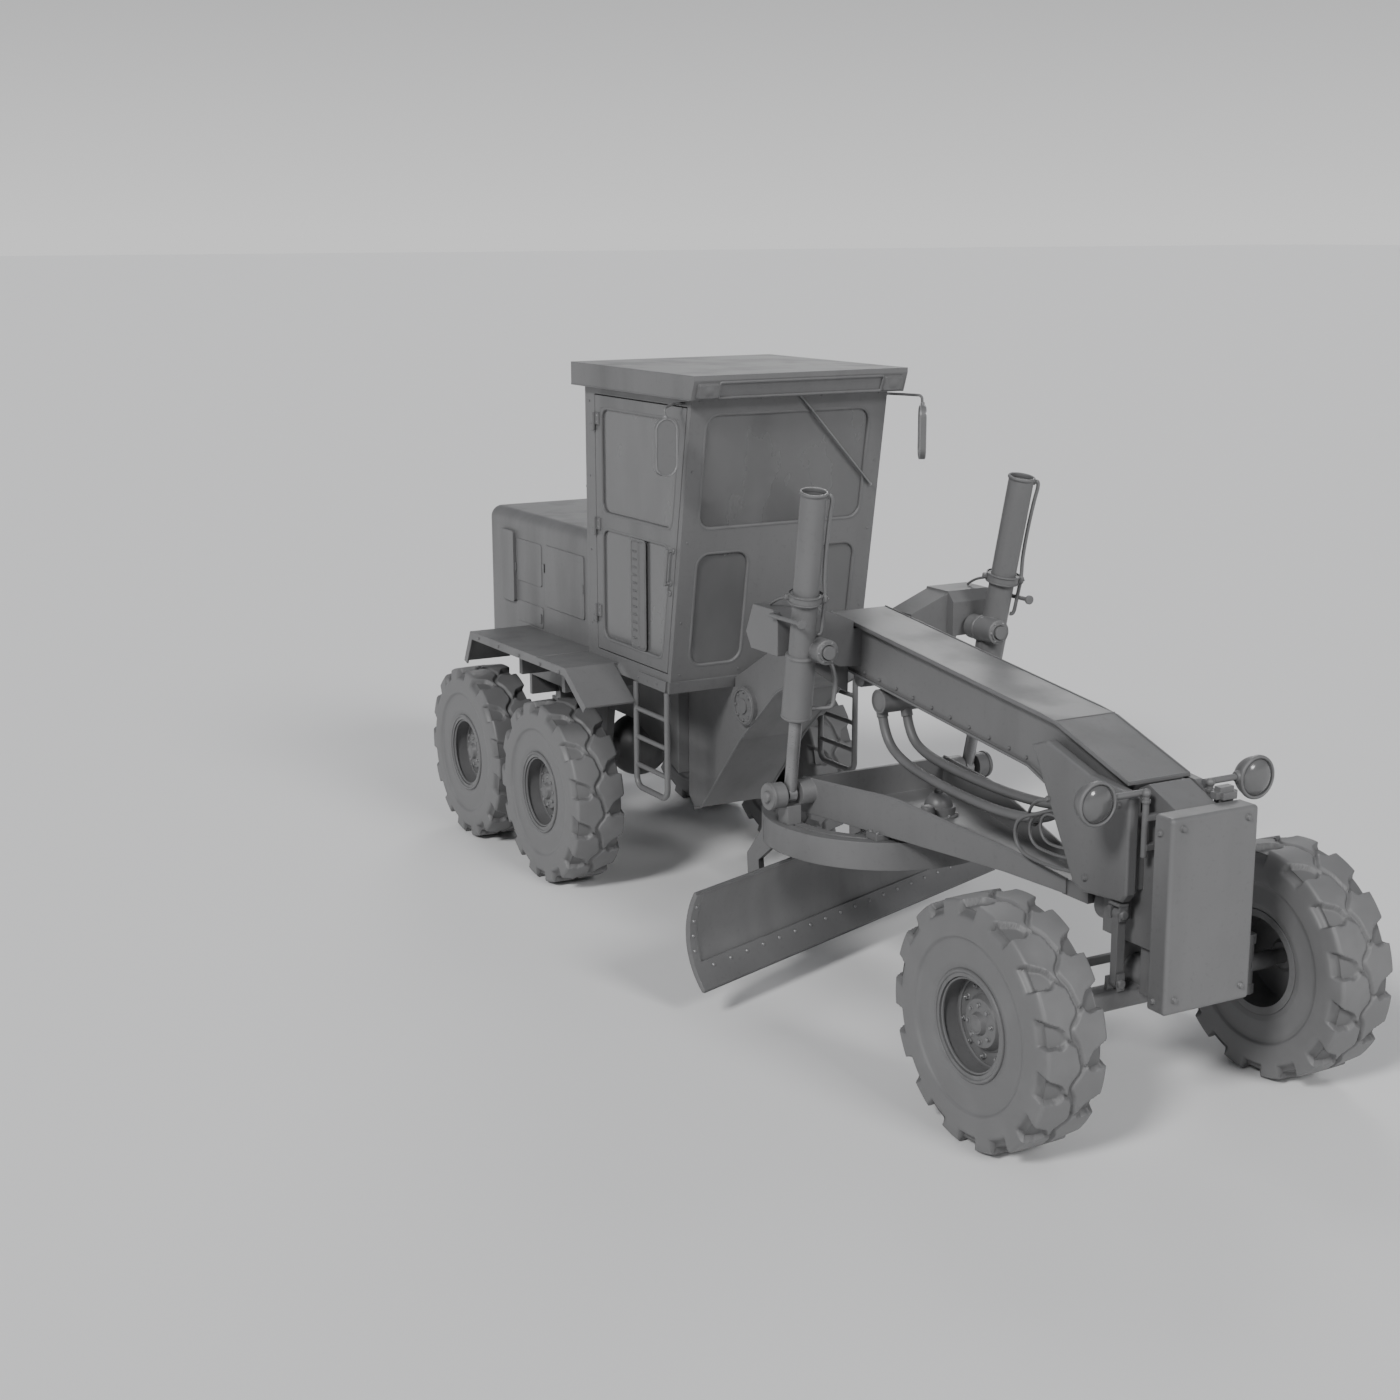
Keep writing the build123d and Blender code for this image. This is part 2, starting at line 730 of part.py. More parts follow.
for name, side in right_left:
    foot = (lift_foot[0], side * lift_foot[1], lift_foot[2])
    along = (lift_vec[0], side * lift_vec[1], lift_vec[2])
    cyl = Plane(origin=foot, x_dir=(0, 1, 0), z_dir=along)
    with BuildPart() as barrel:
        for start, end, radius in (
            (barrel_low, barrel_high, barrel_r), (barrel_high, lift_len, tube_r),
            (collar_at - 20, collar_at + 20, 96),
        ):
            with BuildSketch(cyl.offset(start)):
                Circle(radius)
            extrude(amount=end - start)
        # bearing tube with its ball, which turns in the arm
        with BuildSketch(front_plane(arm_front_x + 26)):
            with Locations((side * pivot_y, pivot_z)):
                Circle(74)
        extrude(amount=250)
        with BuildSketch(front_plane(pivot_x)):
            with Locations((side * pivot_y, pivot_z)):
                Circle(30)
        extrude(amount=100)
        with Locations((pivot_x, side * pivot_y, pivot_z)):
            Sphere(pivot_ball_r)
        with BuildSketch(front_plane(arm_front_x + 270)):
            with Locations((side * pivot_y, pivot_z)):
                Circle(40)
        extrude(amount=34)
        # open guard tube over the rod
        with BuildSketch(cyl.offset(lift_len - 500)):
            Circle(tube_r - 7)
        extrude(amount=500, mode=Mode.SUBTRACT)
        with BuildSketch(cyl.offset(barrel_low)):
            Circle(lift_rod_r + rod_stroke_gap)
        extrude(amount=lift_len - 500 - barrel_low - 20, mode=Mode.SUBTRACT)
    save(barrel, f"lift_barrel_{name}")

    with BuildPart() as rod:
        with BuildSketch(cyl.offset(20)):
            Circle(lift_rod_r)
        extrude(amount=barrel_low - 20 + rod_in_barrel)
        eye_plane = Plane(origin=foot, x_dir=(1, 0, 0), z_dir=(0, -1, 0))
        with BuildSketch(eye_plane):
            Circle(rod_eye_r)
        extrude(amount=rod_eye_half_w, both=True)
        with BuildSketch(eye_plane):
            Circle(rod_pin_r + rod_play)
        extrude(amount=lift_rod_r + 2, both=True, mode=Mode.SUBTRACT)
    save(rod, f"lift_rod_{name}")

# Drawbar

foot_boss_r = 78.0
rod_slot_h = 240.0
foot_out_y = 790.0
foot_in_y = 500.0
bar_rear_x = 760.0
bar_low_z = 1045.0
bar_top_z = 1240.0
bar_front_x = ball_x - 40
bar_t = 22.0
with BuildPart() as drawbar:
    # plan outline of the frame: columns are x, y
    with BuildSketch(Plane.XY.offset(bar_low_z - 20)):
        add(outline([
            (bar_rear_x, -foot_in_y), (bar_rear_x, foot_in_y), (bar_rear_x + 60, foot_in_y),
            (2700, 75), (2700, -75), (bar_rear_x + 60, -foot_in_y),
        ]))
    extrude(amount=24)
    for name, side in right_left:
        run = hypot(2700 - (bar_rear_x + 60), foot_in_y - 75)
        web = Plane(
            origin=(bar_rear_x + 60, side * foot_in_y, 0),
            x_dir=(2700 - (bar_rear_x + 60), side * (75 - foot_in_y), 0),
            z_dir=(side * (75 - foot_in_y), -(2700 - (bar_rear_x + 60)), 0),
        )
        with BuildSketch(web):
            add(outline([
                (-60, bar_low_z - 20), (-60, bar_top_z - 10), (680, bar_top_z + 8), (1530, 1140),
                (run, 1060), (run, 985), (1500, 1010),
            ]))
        extrude(amount=bar_t / 2, both=True)
        with BuildSketch(side_plane(side * foot_out_y)):
            with Locations((lift_foot[0] - 8, lift_foot[2])):
                Circle(foot_boss_r)
        extrude(amount=side * (foot_out_y - foot_in_y + 12))
        with BuildSketch(side_plane(side * (foot_out_y + 14))):
            with Locations((lift_foot[0] - 8, lift_foot[2])):
                Circle(36)
        extrude(amount=side * 20)
        # slot that parts the boss into two cheeks, with room for the rod as it swings
        slot_z = lift_foot[2] + rod_slot_h / 2 - rod_eye_r - rod_play
        with Locations((lift_foot[0], side * lift_foot[1], slot_z)):
            Box(3 * foot_boss_r, 2 * (lift_rod_r + rod_play), rod_slot_h, mode=Mode.SUBTRACT)
        with BuildSketch(side_plane(side * foot_out_y)):
            with Locations((lift_foot[0], lift_foot[2])):
                Circle(rod_pin_r)
        extrude(amount=side * (foot_out_y - foot_in_y))
    with BuildSketch(Plane.YZ.offset(bar_rear_x)):
        with Locations((0, (bar_low_z + bar_top_z) / 2 - 10)):
            Rectangle(2 * foot_in_y + 20, bar_top_z - bar_low_z)
    extrude(amount=26)
    with BuildSketch(Plane.YZ.offset(2660)):
        with Locations((0, 1020)):
            Rectangle(150, 90)
    extrude(amount=ball_x - 2660 - 80)
    with BuildSketch(Plane.YZ.offset(2800)):
        with Locations((0, ball_z)):
            Circle(34)
    extrude(amount=ball_x - 2800)
    with Locations((ball_x, 0, ball_z)):
        Sphere(drawbar_ball_r)
    # guide shoes that hold the circle: columns are x, y, top z
    for x, y, top in ((1362, 377, bar_low_z - 20), (lift_foot[0], lift_foot[1], lift_foot[2] - 60)):
        for name, side in right_left:
            with BuildSketch(Plane.XY.offset(circle_top_z + running_gap)):
                with Locations((x, side * y)):
                    Rectangle(110, 90)
            extrude(amount=top - circle_top_z)
    # drive motor over the circle's teeth
    with BuildSketch(Plane.XY.offset(bar_low_z)):
        with Locations((1300, 90)):
            Circle(100)
    extrude(amount=60)
    with Locations((1300, 90, bar_low_z + 60)):
        Sphere(84)
save(drawbar, "drawbar")

# Circle with its side arms, and the blade behind them in the blade's own frame

blade_n = (cos(radians(blade_yaw)), sin(radians(blade_yaw)), 0)
blade_v = (-sin(radians(blade_yaw)), cos(radians(blade_yaw)), 0)


def blade_point(n, v, z):
    """A point given by its distance ahead of the circle's centre, along the blade, and its height."""
    return (circle_x + n * blade_n[0] + v * blade_v[0], n * blade_n[1] + v * blade_v[1], z)


def blade_section(v):
    """Cross-section plane of the blade: sketch x is ahead of the blade, sketch y is up."""
    return Plane(origin=blade_point(0, v, 0), x_dir=blade_n, z_dir=tuple(-c for c in blade_v))


arm_v = 520.0
arm_t = 50.0
tilt_n = -430.0
tilt_z = 330.0
tilt_pin_r = 22.0
circle_wall = 26.0
circle_flange_t = 24.0
flange_low_z = circle_top_z - circle_flange_t
groove_out_r = circle_r - 72
groove_w = 18.0
groove_depth = 8.0
# side arm outline: columns are n, z
side_arm = [
    (-345, flange_low_z), (-345, circle_top_z - 130), (-520, 690), (-505, 520), (tilt_n + 44, tilt_z + 20),
    (tilt_n + 44, tilt_z - 20), (tilt_n + 20, tilt_z - 44), (tilt_n - 20, tilt_z - 44), (-545, 380),
    (-600, 520), (-610, 720), (-500, circle_top_z - 100), (-480, flange_low_z),
]
with BuildPart() as circle:
    with BuildSketch(Plane(origin=(circle_x, 0, circle_top_z), x_dir=(1, 0, 0), z_dir=(0, -1, 0))):
        add(outline([
            (circle_r - circle_flange_w, 0), (circle_r, 0), (circle_r, -circle_h),
            (circle_r - circle_wall, -circle_h), (circle_r - circle_wall, -circle_flange_t),
            (circle_r - circle_flange_w, -circle_flange_t),
        ]))
    revolve(axis=Axis((circle_x, 0, 0), (0, 0, 1)))
    # ring groove in the top
    with BuildSketch(Plane.XY.offset(circle_top_z)):
        with Locations((circle_x, 0)):
            Circle(groove_out_r)
            Circle(groove_out_r - groove_w, mode=Mode.SUBTRACT)
    extrude(amount=-groove_depth, mode=Mode.SUBTRACT)
save(circle, "circle")

with BuildPart() as circle_arms:
    for side in (-1, 1):
        with BuildSketch(blade_section(side * arm_v + arm_t / 2)):
            add(outline(side_arm))
            with Locations((tilt_n, tilt_z)):
                Circle(tilt_pin_r + running_gap, mode=Mode.SUBTRACT)
        extrude(amount=arm_t)
    # the arms are cut to fit under the flange and round the wall of the ring
    add(circle.part, mode=Mode.SUBTRACT)
save(circle_arms, "circle_arms")

# Moldboard: an arc in section, with the slide rails on its back
sag = 92.0
blade_low = (blade_offset_n, blade_low_z)
blade_top = (blade_offset_n - 58, blade_low_z + blade_h)
blade_mid = (blade_offset_n - 29 - sag, blade_low_z + blade_h / 2 + 10)
# the face is an arc: its centre and radius in the blade's section
mid_low = ((blade_low[0] + blade_mid[0]) / 2, (blade_low[1] + blade_mid[1]) / 2)
mid_top = ((blade_mid[0] + blade_top[0]) / 2, (blade_mid[1] + blade_top[1]) / 2)
run_low = (blade_mid[0] - blade_low[0], blade_mid[1] - blade_low[1])
run_top = (blade_top[0] - blade_mid[0], blade_top[1] - blade_mid[1])
turn_between = run_low[0] * run_top[1] - run_low[1] * run_top[0]
shift = ((mid_top[0] - mid_low[0]) * run_top[0] + (mid_top[1] - mid_low[1]) * run_top[1]) / turn_between
face_centre = (mid_low[0] - shift * run_low[1], mid_low[1] + shift * run_low[0])
face_r = hypot(blade_low[0] - face_centre[0], blade_low[1] - face_centre[1])


def face_point(z, ahead=0.0):
    """Point of the blade's face at height z, moved ahead of the face by the given amount."""
    up = z - face_centre[1]
    n = face_centre[0] - sqrt(face_r ** 2 - up ** 2)
    return (n + ahead * (face_centre[0] - n) / face_r, z + ahead * (face_centre[1] - z) / face_r)


edge_h = 150.0
edge_t = 14.0
strip_w = 62.0
rail_r = 22.0
rail_web = 14.0
rail_gap = 1.0
low_rail = (-340.0, tilt_z)
high_rail = (-352.0, 640.0)
rail_half = 1200.0
with BuildPart() as moldboard:
    with BuildSketch(blade_section(blade_offset_v + blade_half_len)):
        with BuildLine():
            face = ThreePointArc(blade_low, blade_mid, blade_top)
            back = ThreePointArc(
                (blade_top[0] - blade_t, blade_top[1]), (blade_mid[0] - blade_t, blade_mid[1]),
                (blade_low[0] - blade_t, blade_low[1]),
            )
            Line(face @ 1, back @ 0)
            Line(back @ 1, face @ 0)
        make_face()
    extrude(amount=2 * blade_half_len)
    with BuildSketch(blade_section(blade_offset_v + rail_half)):
        for n, z in (low_rail, high_rail):
            with Locations((n, z)):
                Circle(rail_r)
            with Locations((n + 30, z)):
                Rectangle(60, rail_web)
    extrude(amount=2 * rail_half)
    # cutting edge along the foot and wear strips at the ends: columns are v, length, top z
    for v, length, top in (
        (blade_offset_v + blade_half_len, 2 * blade_half_len, blade_low_z + edge_h),
        (blade_offset_v + blade_half_len, strip_w, blade_top[1] - 12),
        (blade_offset_v - blade_half_len + strip_w, strip_w, blade_top[1] - 12),
    ):
        with BuildSketch(blade_section(v)):
            heights = (blade_low_z + 6, (blade_low_z + 6 + top) / 2, top)
            with BuildLine():
                inner = ThreePointArc(*[face_point(z, -4) for z in heights])
                outer = ThreePointArc(*[face_point(z, edge_t) for z in heights])
                Line(inner @ 0, outer @ 0)
                Line(inner @ 1, outer @ 1)
            make_face()
        extrude(amount=length)
save(moldboard, "moldboard")

cheek_v = 462.0
cheek_t = 30.0
with BuildPart() as slide_frame:
    for side in (-1, 1):
        with BuildSketch(blade_section(side * cheek_v + cheek_t / 2)):
            add(outline([
                (tilt_n - 20, tilt_z - 36), (low_rail[0] + 20, tilt_z - 38), (low_rail[0] + 34, tilt_z - 18),
                (low_rail[0] + 34, tilt_z + 30), (low_rail[0] - 20, tilt_z + 80), (high_rail[0] - 20, 580),
                (high_rail[0] + 32, 610), (high_rail[0] + 32, 660), (high_rail[0] + 10, 680),
                (high_rail[0] - 44, 680), (tilt_n - 20, 560), (tilt_n - 36, tilt_z + 20),
                (tilt_n - 36, tilt_z - 16),
            ]))
            for n, z in (low_rail, high_rail):
                with Locations((n, z)):
                    Circle(rail_r + running_gap, mode=Mode.SUBTRACT)
                with Locations((n + 40, z)):
                    Rectangle(80, rail_web + 2 * rail_gap, mode=Mode.SUBTRACT)
        extrude(amount=cheek_t)
        with BuildSketch(blade_section(side * (cheek_v + 50) + 55)):
            with Locations((tilt_n, tilt_z)):
                Circle(tilt_pin_r)
        extrude(amount=110)
    with BuildSketch(blade_section(cheek_v)):
        with Locations((tilt_n - 2, 500)):
            Circle(30)
    extrude(amount=2 * cheek_v)
save(slide_frame, "slide_frame")

# Rear frame, tandem drive and engine

case_y = 640.0
case_t = 110.0
case_half_h = 165.0
drive_r = 150.0
drive_z = 700.0
with BuildPart() as rear_frame:
    for name, side in right_left:
        with BuildSketch(side_plane(side * rail_half_gap)):
            add(outline([
                (frame_rear_x, rail_low_z), (frame_rear_x, rail_top_z + 100), (-1131, rail_top_z + 100),
                (-1131, rail_low_z - 250), (-1500, rail_low_z - 100), (-1800, rail_low_z),
            ]))
        extrude(amount=side * 80)
    for x in (frame_rear_x, -2416, -1400):
        with BuildSketch(Plane.YZ.offset(x)):
            with Locations((0, rail_top_z - 60)):
                Rectangle(2 * rail_half_gap - 100, 160)
        extrude(amount=80)
    # hitch jaw at the tail: two ears with a pin hole
    for z in (690, 790):
        with BuildSketch(Plane.XY.offset(z)):
            with Locations((frame_rear_x - 30, 0)):
                Rectangle(230, 150)
            with Locations((frame_rear_x - 84, 0)):
                Circle(20.5, mode=Mode.SUBTRACT)
        extrude(amount=30)
    with BuildSketch(Plane.XY.offset(690)):
        with Locations((frame_rear_x + 45, 0)):
            Rectangle(90, 220)
    extrude(amount=rail_top_z - 690)
    with BuildSketch(Plane.YZ.offset(frame_rear_x)):
        with Locations((0, 1000)):
            Rectangle(2 * rail_half_gap, 220)
    extrude(amount=40)
    # final drive housing across the frame
    with BuildSketch(side_plane(case_y - case_t / 2)):
        with Locations((tandem_x, drive_z)):
            Circle(110)
    extrude(amount=2 * case_y - case_t)
    with Locations((tandem_x, 0, drive_z)):
        Sphere(230)
    for name, side in right_left:
        with BuildSketch(side_plane(side * rail_half_gap)):
            add(outline([
                (tandem_x - 180, rail_low_z + 10), (tandem_x - 120, drive_z), (tandem_x + 120, drive_z),
                (tandem_x + 180, rail_low_z + 10),
            ]))
        extrude(amount=side * 60)
save(rear_frame, "rear_frame")

with BuildPart() as tandem_cases:
    for name, side in right_left:
        with BuildSketch(side_plane(side * (case_y + case_t / 2))):
            with Locations((tandem_x, tyre_r)):
                SlotOverall(tandem_spacing + 2 * case_half_h, 2 * case_half_h)
            with Locations((tandem_x, drive_z)):
                Circle(200)
        extrude(amount=side * case_t)
        for x in (rear_front_x, rear_rear_x):
            with BuildSketch(Plane(origin=(x, side * case_y, tyre_r), x_dir=(1, 0, 0), z_dir=(0, side, 0))):
                Circle(80)
            extrude(amount=case_t / 2 + 90)
            with BuildSketch(Plane(origin=(x, side * case_y, tyre_r), x_dir=(1, 0, 0), z_dir=(0, side, 0))):
                Circle(spindle_r)
            extrude(amount=wheel_y + rim_half_w - disc_inset + 12 - case_y)
save(tandem_cases, "tandem_cases")

with BuildPart() as engine:
    with Locations((-2720, 0, 1645)):
        Box(1050, 480, 650)
    with BuildSketch(Plane.YZ.offset(-2200)):
        with Locations((0, 1560)):
            Circle(230)
    extrude(amount=150)
save(engine, "engine")

# Hood: a rounded shell open below and towards the cab
hood_front_x = cab_rear_x - 2.0
hood_panels = [
    (-3258, -3040, 1721, 2250, 26),
    (-3025, -2594, 1892, 2202, 5),
    (-3026, -2580, 1591, 1744, 5),
    (-2523, -1891, 1765, 2210, 8),
]
panel_frame_w = 30.0
grille_half_w = 470.0
grille_h = 640.0
grille_z = 1930.0
slat_count = 11
with BuildPart() as hood:
    with BuildSketch(Plane.XY.offset(hood_low_z)):
        with Locations(((hood_rear_x + hood_front_x) / 2, 0)):
            Rectangle(hood_front_x - hood_rear_x, 2 * hood_half_w)
    extrude(amount=hood_top_z - hood_low_z)
    upright = hood.edges().filter_by(Axis.Z).group_by(Axis.X)[0]
    fillet(upright, 90)
    top = hood.faces().sort_by(Axis.Z)[-1].edges().sort_by(Axis.X)[:-1]
    fillet(top, 85)
    inner_l = hood_front_x - hood_rear_x
    inner_w = 2 * hood_half_w - 2 * hood_wall - 90
    inner_h = hood_top_z - hood_low_z - 40
    with Locations(((hood_rear_x + hood_front_x + hood_wall) / 2, 0, (hood_low_z + hood_top_z) / 2 - 35)):
        Box(inner_l - hood_wall + 1, inner_w, inner_h, mode=Mode.SUBTRACT)
    # sills that seat the hood on the frame rails
    for name, side in right_left:
        with BuildSketch(Plane.XY.offset(hood_low_z)):
            with Locations(((frame_rear_x + hood_front_x) / 2 + 60, side * 490)):
                Rectangle(inner_l - 240, 235)
        extrude(amount=25)
    for name, side in right_left:
        # vent box and side panels: columns are rear x, front x, low z, top z, depth
        for x_rear, x_front, low, top, depth in hood_panels:
            with BuildSketch(side_plane(side * hood_half_w)):
                with Locations(((x_rear + x_front) / 2, (low + top) / 2)):
                    RectangleRounded(x_front - x_rear, top - low, 22)
            extrude(amount=-side * depth)
        # the large panel is a frame round a sunk field
        with BuildSketch(side_plane(side * hood_half_w)):
            with Locations(((x_rear + x_front) / 2, (low + top) / 2)):
                RectangleRounded(x_front - x_rear - 2 * panel_frame_w, top - low - 2 * panel_frame_w, 14)
        extrude(amount=side * 4, mode=Mode.SUBTRACT)
    # radiator grille at the tail
    with BuildSketch(Plane.YZ.offset(hood_rear_x - 5)):
        with Locations((0, grille_z)):
            RectangleRounded(2 * grille_half_w, grille_h, 40)
    extrude(amount=hood_wall + 30, mode=Mode.SUBTRACT)
    slat_pitch = grille_h / slat_count
    for k in range(slat_count):
        low = grille_z - grille_h / 2 + k * slat_pitch
        with BuildSketch(side_plane()):
            add(outline([
                (hood_rear_x + 6, low + 8), (hood_rear_x + hood_wall, low + slat_pitch - 14),
                (hood_rear_x + hood_wall, low + slat_pitch - 8), (hood_rear_x + 6, low + 14),
            ]))
        extrude(amount=grille_half_w + 4, both=True)
save(hood, "hood")

fender_out_y = 1110.0
fender_end_in_y = 748.0
fender_t = 12.0
fender_lip = 56.0
fender_front_x = -955.0
# top line of a fender from tail to front: columns are x, z
fender_line = [(-2985, 1338), (-2860, 1572), (-1262, 1588), (fender_front_x, 1383)]
fender_tail, fender_rear, fender_bend, fender_front = fender_line
bracket_t = 50.0
bracket_top_z = fender_rear[1] + 1
with BuildPart() as fenders:
    for name, side in right_left:
        # flat top against the cab and the hood: columns are inner y, front x
        for inner, x_front in ((cab_half_w, fender_bend[0]), (hood_half_w, hood_front_x)):
            with BuildSketch(side_plane(side * fender_out_y)):
                add(outline([
                    fender_rear, (x_front, fender_bend[1]), (x_front, fender_bend[1] - fender_t),
                    (fender_rear[0], fender_rear[1] - fender_t),
                ]))
            extrude(amount=side * (fender_out_y - inner))
        # sloping front and rear ends, clear of the ladder
        with BuildSketch(side_plane(side * fender_out_y)):
            add(outline([
                fender_bend, fender_front, (fender_front[0] - 7, fender_front[1] - fender_t),
                (fender_bend[0] - 4, fender_bend[1] - fender_t),
            ]))
            add(outline([
                fender_tail, fender_rear, (fender_rear[0] + 8, fender_rear[1] - fender_t),
                (fender_tail[0] + 10, fender_tail[1] - 6),
            ]))
        extrude(amount=side * (fender_out_y - fender_end_in_y))
        # lip turned down along the outer edge
        with BuildSketch(side_plane(side * fender_out_y)):
            add(outline(fender_line + [
                (fender_front[0] - 40, fender_front[1] - 43),
                (fender_bend[0] - 18, fender_bend[1] - fender_lip),
                (fender_rear[0] + 28, fender_rear[1] - fender_lip),
                (fender_tail[0] + 50, fender_tail[1] - 18),
            ]))
        extrude(amount=side * fender_t)
        # brackets from the frame rails
        for x in (-2470, -1760):
            with BuildSketch(front_plane(x)):
                add(outline([
                    (side * rail_half_gap, rail_top_z + 10), (side * rail_half_gap, rail_top_z + 85),
                    (side * 850, rail_top_z + 85), (side * 850, bracket_top_z),
                    (side * 900, bracket_top_z), (side * 900, rail_top_z + 10),
                ]))
            extrude(amount=bracket_t)
save(fenders, "fenders")

ladder_r = 20.0
ladder_gap = 18.0
ladder_y = 720.0
ladder_front_x = -560.0
ladder_rear_x = -990.0
# the foot stays above the blade's top edge, which passes under it as the circle turns
ladder_low_z = blade_low_z + blade_h + ladder_gap + ladder_r
with BuildPart() as ladders:
    for name, side in right_left:
        y = side * ladder_y
        with BuildLine() as rail_path:
            FilletPolyline(
                (ladder_front_x, y, cab_low_z), (ladder_front_x, y, ladder_low_z),
                (ladder_rear_x, y, ladder_low_z), (ladder_rear_x, y, cab_low_z), radius=70,
            )
        with BuildSketch(Plane(origin=rail_path.line @ 0, z_dir=rail_path.line % 0)):
            Circle(ladder_r)
        sweep(path=rail_path.line)
        for z in (950, 1140, 1330):
            with BuildSketch(Plane.YZ.offset(ladder_rear_x)):
                with Locations((y, z)):
                    Circle(16)
            extrude(amount=ladder_front_x - ladder_rear_x)
save(ladders, "ladders")

# Cab: floor, front, rear, side frames, roof, doors and glass

cab_in_half = cab_half_w - cab_wall
door_gap = 7.0
hinge_r = 12.0
hinge_pin_r = 6.0
hinge_h = 80.0
sill_h = 75.0
sill_t = 14.0
glass_t = 6.0
glass_inset = 14.0
window_r = 90.0


def light(y, width, low, top):
    """Window opening: y centre, z centre, width, height and corner radius."""
    return (y, (low + top) / 2, width, top - low, min(window_r, 0.4 * (top - low)))


screen_w = 1200.0
low_light_w = 380.0
low_light_y = 400.0
front_windows = [
    light(0, screen_w, belt_z + 80, cab_top_z - 200),
    light(-low_light_y, low_light_w, cab_low_z + 170, belt_z - 80),
    light(low_light_y, low_light_w, cab_low_z + 170, belt_z - 80),
]
rear_window = light(0, 1060, belt_z + 170, cab_top_z - 270)
# door opening and door windows: columns are x at the rear, x at the front's foot, low z, top z
door_rear_x = -1555.0
door_low_z = cab_low_z + 130
door_top_z = cab_top_z - 155
door_mid_z = (door_low_z + door_top_z) / 2
hinge_z = (door_low_z + 220, door_mid_z - 42, door_top_z - 195)
door_front_low_x = cab_front_low_x - 45
rake = degrees(atan2(cab_front_slope, 1))


def raked(x_rear, low_z, top_z, front_shift):
    """Outline with an upright rear edge and a front edge parallel to the raked cab front."""
    return [
        (x_rear, low_z), (front_line_x(low_z) + front_shift, low_z),
        (front_line_x(top_z) + front_shift, top_z), (x_rear, top_z),
    ]


front_face = Plane(
    origin=(cab_front_low_x, 0, cab_low_z), x_dir=(0, 1, 0), z_dir=(1, 0, -cab_front_slope),
)

front_depth = cab_wall / cos(radians(rake))
with BuildPart() as cab_front:
    with BuildSketch(side_plane()):
        add(outline([
            (front_line_x(cab_low_z), cab_low_z), (front_line_x(cab_top_z), cab_top_z),
            (front_line_x(cab_top_z) - front_depth, cab_top_z),
            (front_line_x(cab_low_z) - front_depth, cab_low_z),
        ]))
    extrude(amount=cab_half_w, both=True)
    with BuildSketch(front_face):
        for y, z, w, h, r in front_windows:
            with Locations((y, (z - cab_low_z) / cos(radians(rake)))):
                RectangleRounded(w, h, r)
    extrude(amount=-cab_wall, mode=Mode.SUBTRACT)
    with BuildSketch(side_plane()):
        add(outline([
            (front_line_x(cab_low_z), cab_low_z), (front_line_x(cab_low_z) + sill_t, cab_low_z),
            (front_line_x(cab_low_z + sill_h) + sill_t, cab_low_z + sill_h),
            (front_line_x(cab_low_z + sill_h), cab_low_z + sill_h),
        ]))
    extrude(amount=cab_half_w + sill_t, both=True)
save(cab_front, "cab_front")

with BuildPart() as cab_rear:
    with BuildSketch(Plane.YZ.offset(cab_rear_x)):
        with Locations((0, (cab_low_z + cab_top_z) / 2)):
            Rectangle(2 * cab_half_w, cab_top_z - cab_low_z)
        y, z, w, h, r = rear_window
        with Locations((y, z)):
            RectangleRounded(w, h, r, mode=Mode.SUBTRACT)
    extrude(amount=cab_wall)
save(cab_rear, "cab_rear")

front_in = -front_depth
with BuildPart() as cab_sides:
    for name, side in right_left:
        with BuildSketch(side_plane(side * cab_half_w)):
            add(outline([
                (cab_rear_x + cab_wall, cab_low_z), (front_line_x(cab_low_z) + front_in, cab_low_z),
                (front_line_x(cab_top_z) + front_in, cab_top_z), (cab_rear_x + cab_wall, cab_top_z),
            ]))
            add(outline(raked(door_rear_x - door_gap, door_low_z - door_gap, door_top_z + door_gap,
                              front_in - 5)), mode=Mode.SUBTRACT)
        extrude(amount=side * cab_wall)
        # sill band along the foot, ahead of the fender
        with BuildSketch(side_plane(side * cab_half_w)):
            add(outline([
                (fender_front_x + 10, cab_low_z), (front_line_x(cab_low_z) + front_in, cab_low_z),
                (front_line_x(cab_low_z + sill_h) + front_in, cab_low_z + sill_h),
                (fender_front_x + 10, cab_low_z + sill_h),
            ]))
        extrude(amount=-side * sill_t)
        # fixed halves of the door hinges, with their pins
        for z in hinge_z:
            with BuildSketch(Plane.XY.offset(z - running_gap)):
                with Locations((door_rear_x, side * (cab_half_w + hinge_r))):
                    Circle(hinge_r)
                with Locations((door_rear_x - 32, side * (cab_half_w + 4))):
                    Rectangle(64, 8)
            extrude(amount=-hinge_h / 2)
            with BuildSketch(Plane.XY.offset(z - hinge_h / 2)):
                with Locations((door_rear_x, side * (cab_half_w + hinge_r))):
                    Circle(hinge_pin_r)
            extrude(amount=1.5 * hinge_h)
save(cab_sides, "cab_sides")

with BuildPart() as cab_floor:
    with BuildSketch(side_plane()):
        add(outline([
            (cab_rear_x + cab_wall, cab_low_z), (front_line_x(cab_low_z) + front_in, cab_low_z),
            (front_line_x(cab_low_z + 60) + front_in, cab_low_z + 60),
            (cab_rear_x + cab_wall, cab_low_z + 60),
        ]))
    extrude(amount=cab_in_half, both=True)
save(cab_floor, "cab_floor")

roof_mid_x = (roof_rear_x + roof_front_x) / 2
with BuildPart() as cab_roof:
    with BuildSketch(side_plane()):
        add(outline([
            (roof_rear_x, roof_top_z - roof_skirt), (roof_rear_x, roof_top_z), (roof_front_x, roof_top_z),
            (roof_front_x, roof_top_z - 30), (roof_front_x - 45, roof_top_z - roof_skirt),
        ]))
    extrude(amount=roof_half_w, both=True)
    with Locations((roof_mid_x - 40, 0, cab_top_z - 100)):
        Box(roof_front_x - roof_rear_x - 140, 2 * roof_half_w - 60, 200, mode=Mode.SUBTRACT)
save(cab_roof, "cab_roof")

